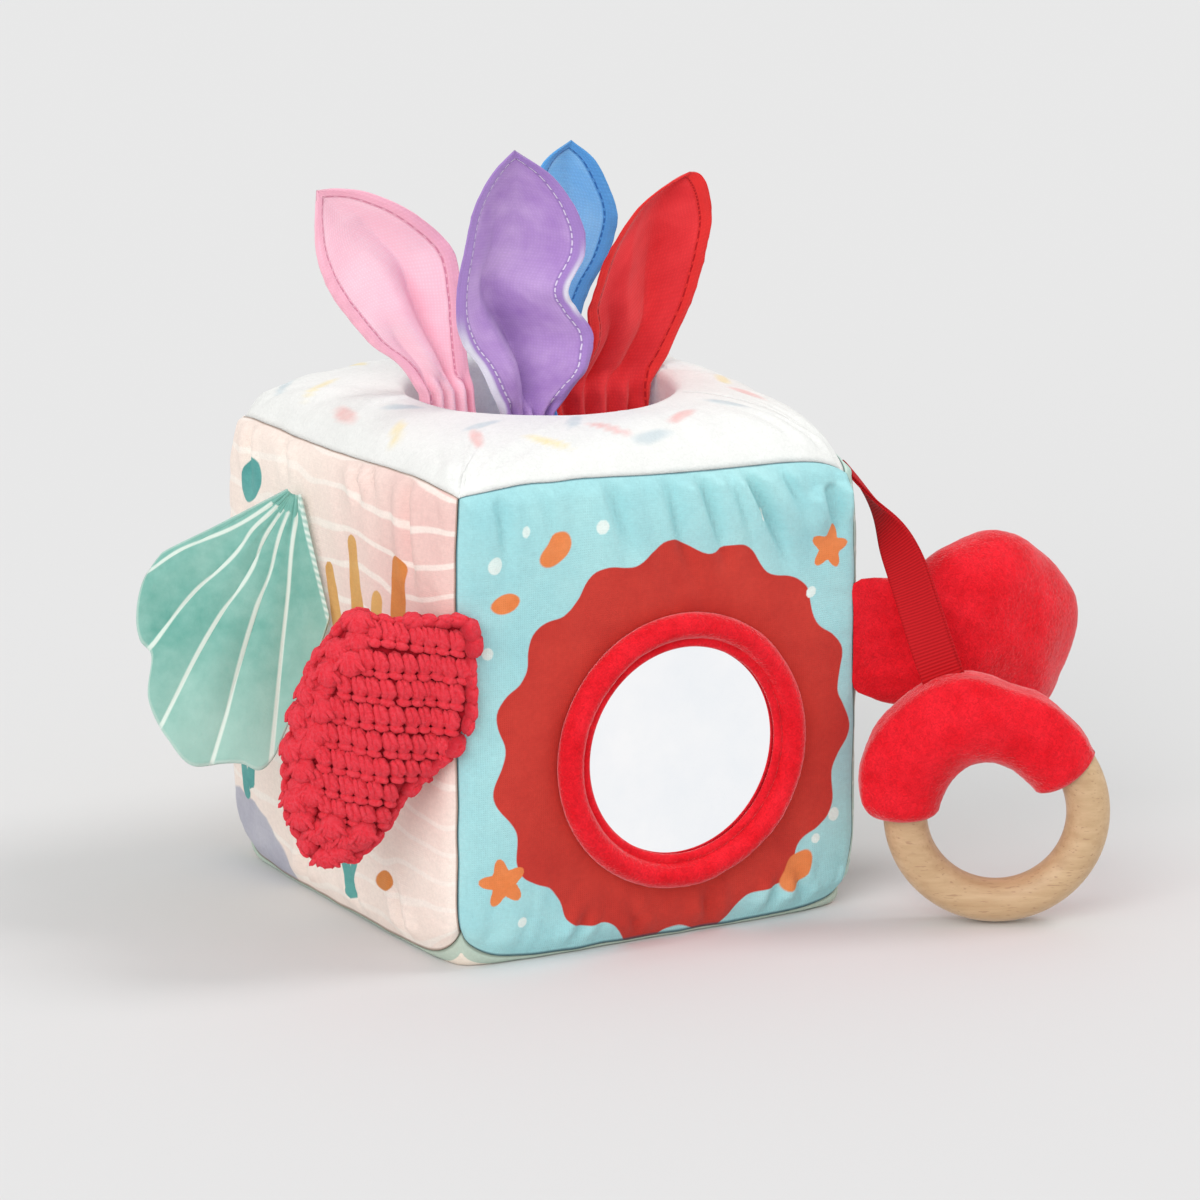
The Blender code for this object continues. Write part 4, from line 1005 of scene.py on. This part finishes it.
claws = {
    "plush": {
        "root": Vector((63, -66, 0)) * mm, "turn": math.radians(10.0), "centre": (43, 72), "depth": 14.5,
        "thin": 1.4, "full": 34, "forward": 0.0,
        "outline": [(-1.8, 93.4), (-2.0, 86), (-2.0, 77.5), (-2.0, 69), (-1.8, 61.8), (3, 59.2), (8, 56.9),
                    (15, 54.6), (26, 50.5), (38, 46.4), (52, 43.8), (62, 44.2), (69.5, 48), (73.2, 54.5),
                    (76.4, 61.9), (78.4, 70), (77.6, 76.5), (74.4, 82.4), (70.6, 87.2), (64, 92.4),
                    (56.5, 96.4), (49.5, 98.2), (42.5, 97.9), (33, 95.4), (25.5, 91.8), (19, 90.0),
                    (10.5, 91.4)],
    },
    "crochet": {
        "root": Vector((-63, -66, 0)) * mm, "turn": math.pi - math.radians(29.8), "centre": (20, 67.5),
        "depth": 10.0, "thin": 1.0, "full": 20, "forward": 1.7,
        "outline": [(-5, 98.7), (-5.5, 88), (-5.7, 79), (-5.1, 70.2), (-1.2, 63), (4, 57.5), (9.5, 52.5),
                    (14.7, 47.3), (18.5, 41.2), (22.2, 36.2), (29.4, 31.5), (36.5, 31.8), (41.4, 36.2),
                    (45, 44), (46, 52), (45.6, 61), (43.7, 69.4), (40, 81), (34.2, 92.7), (28.8, 99.2),
                    (14.3, 98.6), (4, 99.4)],
    },
}


def polarTable(claw):
    # (angle, reach) round the pillow's centre, repeated past each end so that the curve closes
    cx, cy = claw["centre"]
    pairs = sorted((math.atan2(y - cy, x - cx), math.hypot(x - cx, y - cy)) for x, y in claw["outline"])
    full = 2 * math.pi
    return ([(angle - full, reach) for angle, reach in pairs[-2:]] + pairs
            + [(angle + full, reach) for angle, reach in pairs[:2]])


for look in claws.values():
    table = polarTable(look)
    rough = [shareAt(table, math.radians(degrees)) for degrees in range(-180, 180)]
    look["reach"] = [sum((5 - abs(k)) * rough[(degrees + k) % 360] for k in range(-4, 5)) / 25
                     for degrees in range(360)]


def reachAt(claw, angle):
    place = math.degrees(angle) + 180
    low = math.floor(place)
    return claw["reach"][low % 360] * (1 + low - place) + claw["reach"][(low + 1) % 360] * (place - low)


def clawPlace(claw, out, depth, high):
    outward = Vector((math.cos(claw["turn"]), math.sin(claw["turn"]), 0))
    facing = up.cross(outward)
    shift = claw["forward"] * (1 - between(0, 9, out))      # clears the block's corner
    return claw["root"] + (outward * out + facing * (depth + shift) + up * high) * mm


def clawThickness(claw, out, inset):
    return max(claw["thin"] + (claw["depth"] - claw["thin"]) * between(-3, claw["full"], out) - inset, 0.25)


def pillowPoint(claw, turn, v, inset=0.0, lumpAt=None):
    # turn goes round the outline, v from the middle of one face over the rim to the other
    angle = math.pi * (2 * turn - 1)
    share, side = math.sin(math.pi * v), math.cos(math.pi * v)
    reach = max(reachAt(claw, angle) - inset, 1.0) * share
    out, high = claw["centre"][0] + reach * math.cos(angle), claw["centre"][1] + reach * math.sin(angle)
    depth = math.copysign(abs(side) ** 0.85, side) * clawThickness(claw, out, inset)
    point = clawPlace(claw, out, depth, high)
    if lumpAt:
        soft = lumpAt(point, out, high)
        inner = share * 3
        middle = clawPlace(claw, out - math.cos(angle) * inner, depth * 0.6, high - math.sin(angle) * inner)
        point += (point - middle).normalized() * soft * between(-1, 3, out)
    return point


def bendingAt(claw, body):
    outward = Vector((math.cos(claw["turn"]), math.sin(claw["turn"]), 0))
    return "block", body, claw["root"] - outward * mm, claw["root"] + outward * 8 * mm


def makePillow(name, claw, cells, material, body, node, inset=0.0, lumpAt=None):
    mesh = movedGrid(cells[0], cells[1], lambda u, v: pillowPoint(claw, u, v, inset, lumpAt), wrapped=True)
    piece = addPiece(name, mesh, material, bendingAt(claw, body), [node])


# Carded polyester stuffing: white, springy and matt.
wadding, waddingTree = newMaterial("polyester wadding", Roughness=0.98, Sheen_Weight=0.3)
setLook(waddingTree, mottled(waddingTree, addNode(waddingTree, "TexCoord").outputs["Object"], 3 * mm,
                             "#F4F4F2", "#E4E4E2"))


def makePlushClaw():
    def lumpAt(point, out, high):
        # soft lumps, fine pile and the gathers where the claw is sewn into the seam
        soft = noise.noise(point / (15 * mm)) * 1.1 + noise.noise(point / (1.5 * mm)) * 0.16
        return (soft - abs(noiseAt(high / 6, 0, 3)) * 3.2 * math.exp(-max(out, 0) / 9)) * mm

    makePillow("plush_claw", claws["plush"], (150, 96), redPlush, "plush_claw", "plush_claw_skin", 0.0,
               lumpAt)
    makePillow("plush_claw_wadding", claws["plush"], (60, 40), wadding, "plush_claw", "plush_claw_filling",
               2.6)
    print("plush claw made", flush=True)


makePlushClaw()

crochetStitch = {"row": 7.0, "pitch": 3.7, "inset": 2.6, "length": 6.8, "width": 5.0, "bobble": 7.8,
                 "bobbleBand": 11.0, "rows": 10, "columns": 15, "ringBobbles": 32, "rimSteps": 240,
                 "rimPitch": 4.1, "roughSize": 1.7, "rough": 0.35}


def makeCrochetClaw():
    claw, stitch = claws["crochet"], crochetStitch
    # Chenille acrylic yarn: dyed fibres stand out all round it, so it is matt; its folds get a painted shade
    # of deeper red.
    yarn, tree = newMaterial("coral chenille yarn", Roughness=0.9, Sheen_Weight=0.45, Sheen_Roughness=0.5,
                             Specular_IOR_Level=0.12, Sheen_Tint="#FF7884")
    place = addNode(tree, "TexCoord").outputs["Object"]
    fibre = addNode(tree, "TexNoise", {"Vector": place, "Scale": 1 / (1.0 * mm), "Detail": 4.0,
                                       "Roughness": 0.75}).outputs["Fac"]
    colour = paintOver(tree, "#F82C3C", "#FF5260", fibre, 0.32, 0.68)
    # painted shade: a deeper red wherever the mark is set, on the lower side of each lobe and on the body
    # between the stitches
    colour = paintOver(tree, colour, "#C41829", "paintedShadeMark")
    bump = addNode(tree, "Bump", {"Height": fibre, "Distance": 1.0 * mm, "Strength": 1.0})
    setLook(tree, colour, bump.outputs[0])

    mesh = movedGrid(90, 60, lambda u, v: pillowPoint(claw, u, v, stitch["inset"]), wrapped=True)
    # painted shade: the body under the stitches is marked all over, so it shows the deeper red between them
    layer = mesh.verts.layers.float.new("paintedShadeMark")
    for corner in mesh.verts:
        corner[layer] = 1.0
    base = addPiece("crochet_body", mesh, yarn, bendingAt(claw, "crochet_claw"), ["crochet_claw_skin"])
    makePillow("crochet_claw_wadding", claw, (50, 30), wadding, "crochet_claw", "crochet_claw_filling", 4.4,
               None)

    def faceDepth(out, high):
        # depth of the body's face at a place, or None outside its outline
        dx, dy = out - claw["centre"][0], high - claw["centre"][1]
        share = math.hypot(dx, dy) / (reachAt(claw, math.atan2(dy, dx)) - stitch["inset"])
        if share >= 0.99:
            return None
        return (1 - share**2) ** 0.42 * clawThickness(claw, out, stitch["inset"])

    ball = bmesh.new()
    bmesh.ops.create_uvsphere(ball, u_segments=8, v_segments=6, radius=1.0)
    spots = [corner.co.copy() for corner in ball.verts]
    ballFaces = [[corner.index for corner in face.verts] for face in ball.faces]
    ball.free()
    stitches = bmesh.new()
    mark = stitches.verts.layers.float.new("paintedShadeMark")

    def addLobe(centre, along, outwards, length, width, thick, shade=0.8):
        sideways = outwards.cross(along).normalized()
        axes = Matrix((along.normalized() * length / 2, sideways * width / 2, outwards * thick / 2))
        shape = axes.transposed() * mm
        corners = []
        for spot in spots:
            place = centre + shape @ spot
            fuzz = noise.noise_vector(place / (stitch["roughSize"] * mm)) * stitch["rough"] * mm
            corners.append(stitches.verts.new(place + fuzz))
            # painted shade: the lower side of each lobe, towards the body, darkens by its shade share
            corners[-1][mark] = shade * min(max(0.45 - spot.z, 0.0) * 1.2, 1.0)
        for ballFace in ballFaces:
            stitches.faces.new([corners[index] for index in ballFace])

    def addStitch(here, along, rise, outwards, bobble, order):
        jitter = noise.noise_vector(here / (3 * mm)) * 0.5 * mm
        centre = here + jitter + outwards * 0.7 * mm
        if bobble:
            addLobe(centre, rise, outwards, stitch["bobble"], stitch["bobble"], 5.4)
            for shift, turned in ((-2.6, 0.9), (-1.2, 0.5), (0.2, 0.2), (1.5, -0.3), (2.7, -0.8)):
                strand = centre + outwards * 1.6 * mm + along * shift * mm
                addLobe(strand, rise + along * turned, outwards, 5.4, 1.5, 2.6 - 0.25 * abs(shift), 0.2)
            return
        leaning = rise + along * (0.35 if order % 2 else 0.15)
        addLobe(centre, leaning, outwards, stitch["length"], stitch["width"], 3.4)
        for shift, turned in ((-0.8, 0.55), (1.0, 0.25)):
            strand = centre + outwards * 1.0 * mm + along * shift * mm + rise * 0.6 * mm
            addLobe(strand, rise + along * turned, outwards, 5.6, 1.9, 2.2, 0.2)
        # a short lobe in the groove below, with a strong painted shade
        addLobe(centre - rise * 3.3 * mm + outwards * 0.1 * mm, along + rise * 0.3, outwards, 4.6, 2.5, 2.6,
                0.7)

    awayFromSeam = Vector((math.cos(claw["turn"]), math.sin(claw["turn"]), 0))
    facing = up.cross(awayFromSeam)
    # rows that slope down towards the sewn seam, on both faces
    highest = max(point[1] for point in claw["outline"])
    farthest = max(point[0] for point in claw["outline"])
    for row in range(stitch["rows"]):
        slope = 0.10 + 0.018 * row
        for column in range(stitch["columns"]):
            out = farthest - 2.5 - stitch["pitch"] * (column + 0.5 * (row % 2))
            high = highest - 4.0 - stitch["row"] * row + slope * (out - 22)
            depth = faceDepth(out, high)
            if depth is None:
                continue
            for face in (1, -1):
                here = clawPlace(claw, out, depth * face, high)
                beside = clawPlace(claw, out + 0.4, (faceDepth(out + 0.4, high) or 0.0) * face, high)
                above = clawPlace(claw, out, (faceDepth(out, high + 0.4) or 0.0) * face, high + 0.4)
                along, rise = (beside - here).normalized(), (above - here).normalized()
                outwards = along.cross(rise).normalized() * -face
                dx, dy = out - claw["centre"][0], high - claw["centre"][1]
                edge = reachAt(claw, math.atan2(dy, dx)) - math.hypot(dx, dy)
                bobble = edge < stitch["bobbleBand"] and dx > 4
                if bobble:
                    here += outwards * (0.9 if (row + column) % 2 else 0.0) * mm
                    here += rise * (1.6 if column % 2 else -1.2) * mm
                addStitch(here, along, rise, outwards, bobble, row + column)
    # a ring of bobbles lies just inside the rim, away from the sewn seam, on both faces
    for k in range(stitch["ringBobbles"]):
        for v in (0.34, 0.66):
            here = pillowPoint(claw, k / stitch["ringBobbles"], v, stitch["inset"])
            if (here - clawPlace(claw, claw["centre"][0] + 2, 0, claw["centre"][1])).dot(awayFromSeam) > 0:
                along = (pillowPoint(claw, (k + 0.2) / stitch["ringBobbles"], v,
                                     stitch["inset"]) - here).normalized()
                rise = (pillowPoint(claw, k / stitch["ringBobbles"], 0.5 + (v - 0.5) * 0.8,
                                    stitch["inset"]) - here).normalized()
                outwards = rise.cross(along).normalized()
                outwards *= math.copysign(1, outwards.dot(facing) * (0.5 - v))
                addStitch(here - outwards * 0.6 * mm, along, rise, outwards, True, k)
    # a row of stitches round the rim closes the two faces
    steps = stitch["rimSteps"]
    rim = [pillowPoint(claw, k / steps, 0.5, stitch["inset"]) for k in range(steps)]
    walked = 0.0
    for k in range(steps):
        step = (rim[(k + 1) % steps] - rim[k]).length
        if int((walked + step) / (stitch["rimPitch"] * mm)) > int(walked / (stitch["rimPitch"] * mm)):
            along = (rim[(k + 1) % steps] - rim[k - 1]).normalized()
            outwards = along.cross(facing).normalized()
            if outwards.dot(rim[k] - clawPlace(claw, claw["centre"][0], 0, claw["centre"][1])) < 0:
                outwards = -outwards
            addStitch(rim[k], facing, along, outwards, k % 3 == 0, k)
        walked += step
    bmesh.ops.recalc_face_normals(stitches, faces=stitches.faces)
    addPiece("crochet_stitches", stitches, yarn, bendingAt(claw, "crochet_claw"))
    print("crocheted claw made", flush=True)


makeCrochetClaw()


# Beech ring, its plush sleeve and the ribbon

ring = {"radius": 25 * mm, "section": 6 * mm, "place": Vector((87.8, -98.2, 31.3)) * mm,
        "turn": math.radians(-29.8)}
sleeve = {
    "section": 12.6 * mm, "offRing": 1.8 * mm, "bore": 6.6, "start": 28.5, "end": 182.0, "mouthSlant": 6.5,
    "roundShare": 0.06,
    # outer and inner outline in the ring's plane: (degrees, millimetres from the ring's centre)
    "outer": ((25, 31.2), (39, 32.6), (53, 33.9), (68, 35.3), (80, 36.3), (91, 38.8), (102, 41.0),
              (115, 41.8), (133, 41.4), (150, 40.6), (166, 38.8), (182, 36.5)),
    "inner": ((25, 12.6), (40, 12.4), (56, 12.1), (82, 13.4), (102, 14.8), (123, 15.7), (150, 15.6),
              (166, 15.4), (182, 15.8)),
}
ringSide = Vector((math.cos(ring["turn"]), math.sin(ring["turn"]), 0))
ringFace = ringSide.cross(up)


def ringPoint(angle, centre, section, turn):
    spoke = ringSide * math.cos(angle) + up * math.sin(angle)
    return ring["place"] + spoke * (centre + section * math.cos(turn)) + ringFace * section * math.sin(turn)


def makeRing():
    mesh = bmesh.new()
    middle = ring["place"] + ringSide * ring["radius"]
    circle = bmesh.ops.create_circle(mesh, segments=40, radius=ring["section"])["verts"]
    for corner in circle:
        # the section lies in the plane of the ring's radius and its facing direction
        corner.co = middle + ringSide * corner.co.x + ringFace * corner.co.y
    bmesh.ops.spin(mesh, geom=mesh.edges[:], cent=ring["place"], axis=ringFace, angle=2 * math.pi,
                   steps=144, use_merge=True)
    closeSeams(mesh, outward=True)
    # Oiled beech, turned and sanded: pale pink-brown, with short dark flecks along the grain.
    material, tree = newMaterial("oiled beech", Roughness=0.48)
    place = addNode(tree, "TexCoord").outputs["Object"]
    centred = addNode(tree, "Mapping", {"Vector": place, "Location": tuple(-ring["place"])},
                      vector_type="POINT")
    upright = addNode(tree, "Mapping", {"Vector": centred.outputs[0], "Rotation": (0, 0, -ring["turn"])})
    long = addNode(tree, "Mapping", {"Vector": upright.outputs[0], "Rotation": (0, 0.35, 0),
                                     "Scale": (1.0, 7.0, 7.0)}).outputs[0]
    grain = addNode(tree, "TexNoise", {"Vector": long, "Scale": 1 / (16 * mm), "Detail": 5.0,
                                       "Roughness": 0.6}).outputs["Fac"]
    flecks = addNode(tree, "TexNoise", {"Vector": long, "Scale": 1 / (3.4 * mm),
                                        "Detail": 1.0}).outputs["Fac"]
    colour = paintOver(tree, "#BD9B74", "#CFB089", grain, 0.32, 0.68)
    colour = paintOver(tree, colour, "#A0765A", flecks, 0.64, 0.72, 0.55)
    bump = addNode(tree, "Bump", {"Height": grain, "Distance": 0.05 * mm, "Strength": 0.5})
    setLook(tree, colour, bump.outputs[0])
    addPiece("beech_ring", mesh, material, "ring", ["wooden_ring"])
    print("ring made", flush=True)


def makeSleeve():
    outerShare = 0.8        # share of the rows that lie on the outside, the rest lines the bore

    def ends(share, section, around):
        slant = sleeve["mouthSlant"] * math.cos(around) * section / 10 * (1 - share) ** 2
        return math.radians(sleeve["start"] + (sleeve["end"] - sleeve["start"]) * share + slant)

    def pointAt(turn, place):
        around = 2 * math.pi * turn
        if place > outerShare:
            share = 1 - (place - outerShare) / (1 - outerShare)
            return ringPoint(ends(share, sleeve["bore"], around), ring["radius"], sleeve["bore"] * mm,
                             around)
        share = (1 - math.cos(math.pi * place / outerShare)) / 2
        degrees = sleeve["start"] + (sleeve["end"] - sleeve["start"]) * share
        outer, inner = shareAt(sleeve["outer"], degrees), shareAt(sleeve["inner"], degrees)
        rounding = min(min(share, 1 - share) / sleeve["roundShare"], 1.0)
        swell = math.sqrt(1 - (1 - rounding) ** 2)
        section = sleeve["bore"] + ((outer - inner) / 2 - sleeve["bore"]) * swell
        centre = ring["radius"] / mm + ((outer + inner) / 2 - ring["radius"] / mm) * swell
        point = ringPoint(math.radians(degrees), centre * mm, section * mm, around)
        lump = noise.noise(point / (11 * mm)) * 0.8 + noise.noise(point / (1.5 * mm)) * 0.16
        # a raised seam runs along its upper outer side
        ridge = 0.9 * math.exp(-(math.sin((around - 0.5) / 2) * 9) ** 2)
        section += (lump + ridge) * swell
        return ringPoint(ends(share, section, around), centre * mm, section * mm, around)

    mesh = movedGrid(80, 150, pointAt)
    closeSeams(mesh)
    bmesh.ops.bridge_loops(mesh, edges=[edge for edge in mesh.edges if edge.is_boundary])
    bmesh.ops.recalc_face_normals(mesh, faces=mesh.faces)
    tube = addPiece("plush_sleeve", mesh, redPlush, "sleeve", ["ring_sleeve"])
    print("sleeve made", flush=True)


makeRing()
makeSleeve()

ribbon = {"width": 11 * mm, "layer": 0.42 * mm, "seamY": -58 * mm, "rootHandle": 28 * mm,
          "endHandle": 26 * mm, "angle": math.radians(112), "dip": math.radians(48), "off": 5.0 * mm,
          "endGap": 0.4 * mm, "length": 74 * mm}


def ribbonCurve():
    ends = []
    for offset in (-ribbon["width"] / 2, ribbon["width"] / 2):
        ends.append(blockMiddle + roundCorner(Vector((blockHalf.x, ribbon["seamY"] + offset, blockHalf.z))))
    alongSeam = (ends[1] - ends[0]).normalized()
    root = (ends[0] + ends[1]) / 2 + Vector((0.65, 0, -1)).normalized() * ribbon["off"]
    spoke = ringSide * math.cos(ribbon["angle"]) + up * math.sin(ribbon["angle"])
    end = ring["place"] + spoke * (ring["radius"] + sleeve["offRing"] + sleeve["section"] + ribbon["endGap"])
    endAcross = ringSide * math.sin(ribbon["angle"]) - up * math.cos(ribbon["angle"])
    leaving = alongSeam.cross(up).normalized() * math.cos(ribbon["dip"]) - up * math.sin(ribbon["dip"])
    first, second = root + leaving * ribbon["rootHandle"], end + spoke * ribbon["endHandle"]
    return root, first, second, end, alongSeam, endAcross


def ribbonPoint(across, t, lift):
    root, first, second, end, alongSeam, endAcross = ribbonCurve()
    s = 1 - t
    point = root * s**3 + first * 3 * s * s * t + second * 3 * s * t * t + end * t**3
    heading = ((first - root) * s * s + (second - first) * 2 * s * t + (end - second) * t * t).normalized()
    beside = (-alongSeam).lerp(endAcross, smoothstep(t * 1.1))
    beside = (beside - heading * beside.dot(heading)).normalized()
    cup = (across * across - 0.3) * 0.5 * mm
    return point + beside * across * ribbon["width"] / 2 + heading.cross(beside) * (lift + cup)


def makeRibbon():
    # Polyester grosgrain: close fine ribs across its width, almost matt.
    material, tree = newMaterial("red grosgrain", Roughness=0.7, Specular_IOR_Level=0.15)
    strip = addNode(tree, "TexCoord").outputs["UV"]
    ribs = addNode(tree, "TexWave", {"Vector": strip, "Scale": 0.314159 / (0.95 * mm), "Distortion": 0.15},
                   wave_type="BANDS", bands_direction="X").outputs["Fac"]
    bump = addNode(tree, "Bump", {"Height": ribs, "Distance": 0.2 * mm, "Strength": 0.6})
    setLook(tree, paintOver(tree, "#AA0D15", "#C6171F", ribs), bump.outputs[0])
    root, first = ribbonCurve()[:2]
    leaving = (first - root).normalized()
    bending = ("block", "ribbon", root, root + leaving * 9 * mm)
    layers = (("ribbon_front", 0.3 * mm, 0.0, ["ribbon_strap"]), ("ribbon_back", -0.3 * mm, 0.12, []))
    for name, lift, shift, replaced in layers:
        def pointAt(u, v, lift=lift, shift=shift):
            return ribbonPoint(2 * v - 1 + shift * between(0.3, 0.6, u), u, lift)
        mesh = movedGrid(120, 16, pointAt, lambda u, v: (u * ribbon["length"], v * ribbon["width"]))
        strap = addPiece(name, mesh, material, bending, replaced)
        addThickness(strap, ribbon["layer"], 0.0)
    print("ribbon made", flush=True)


makeRibbon()


# Hidden stuffing keeps plain finishes of its own

def makeHiddenFinishes():
    # Cut polyurethane foam: cream, open-celled and matt.
    foam, tree = newMaterial("board foam", Roughness=0.95)
    place = addNode(tree, "TexCoord").outputs["Object"]
    cells = addNode(tree, "TexVoronoi", {"Vector": place, "Scale": 1 / (1.2 * mm)}).outputs["Distance"]
    setLook(tree, paintOver(tree, "#F0EBDC", "#DAD3BE", cells))
    for node, finish in (("front_board", foam), ("back_board", foam), ("left_board", foam),
                         ("right_board", foam), ("bottom_board", foam), ("top_wadding", wadding)):
        setFinish(node, finish)


makeHiddenFinishes()


# Studio: pale floor, soft light, camera at the photograph's angle

camera = {"azimuth": -29.792, "elevation": 14.787, "distance": 2.0, "shiftRight": 0.01663,
          "shiftUp": 0.07758, "lens": 214.344}
lights = {
    "world": 0.73, "floor": "#DCDCDC", "reflectedFloor": 0.95,
    "suns": (("key", 0.80, 22, Vector((0.60, -0.25, 0.85))),
             ("fill", 1.30, 42, Vector((-0.80, -0.60, 0.55)))),
}


def makeStudio():
    mesh = bmesh.new()
    bmesh.ops.create_grid(mesh, x_segments=1, y_segments=1, size=6.0)
    floor = newObject("studio_floor", newData("studio_floor", mesh))
    # matt paper; the mirror sees it lit from end to end
    paper, tree = newMaterial("studio paper", Roughness=1.0, Base_Color=lights["floor"],
                              Specular_IOR_Level=0.0)
    shader = tree.nodes["Principled BSDF"]
    rays = addNode(tree, "LightPath")
    reflected = addNode(tree, "Math", {0: rays.outputs["Is Glossy Ray"],
                                       1: rays.outputs["Is Transmission Ray"]},
                        operation="MAXIMUM")
    glow = addNode(tree, "Emission", {"Color": (1, 1, 1, 1), "Strength": lights["reflectedFloor"]})
    mixed = addNode(tree, "MixShader", {0: reflected.outputs[0], 1: shader.outputs[0], 2: glow.outputs[0]})
    tree.links.new(mixed.outputs[0], tree.nodes["Material Output"].inputs["Surface"])
    floor.data.materials.append(paper)

    world = bpy.data.worlds.new("studio")
    world.use_nodes = True
    bpy.context.scene.world = world
    background = world.node_tree.nodes["Background"]
    background.inputs["Color"].default_value = (1, 1, 1, 1)
    background.inputs["Strength"].default_value = lights["world"]

    for name, strength, softAngle, direction in lights["suns"]:
        lamp = bpy.data.lights.new(name, "SUN")
        lamp.energy = strength
        lamp.angle = math.radians(softAngle)
        newObject(name, lamp).rotation_euler = direction.to_track_quat("Z", "Y").to_euler()

    az, el = math.radians(camera["azimuth"]), math.radians(camera["elevation"])
    back = Vector((math.sin(az) * math.cos(el), -math.cos(az) * math.cos(el), math.sin(el)))
    right = Vector((math.cos(az), math.sin(az), 0))
    above = back.cross(right)
    lens = bpy.data.cameras.new("camera")
    lens.lens = camera["lens"]
    lens.sensor_width = 36
    lens.clip_end = 50
    view = newObject("camera", lens)
    view.matrix_world = Matrix((right, above, back)).transposed().to_4x4()
    view.matrix_world.translation = (back * camera["distance"] + right * camera["shiftRight"]
                                     + above * camera["shiftUp"])
    bpy.context.scene.camera = view
    bpy.context.scene.view_settings.view_transform = "Standard"


makeStudio()
print("studio made", flush=True)
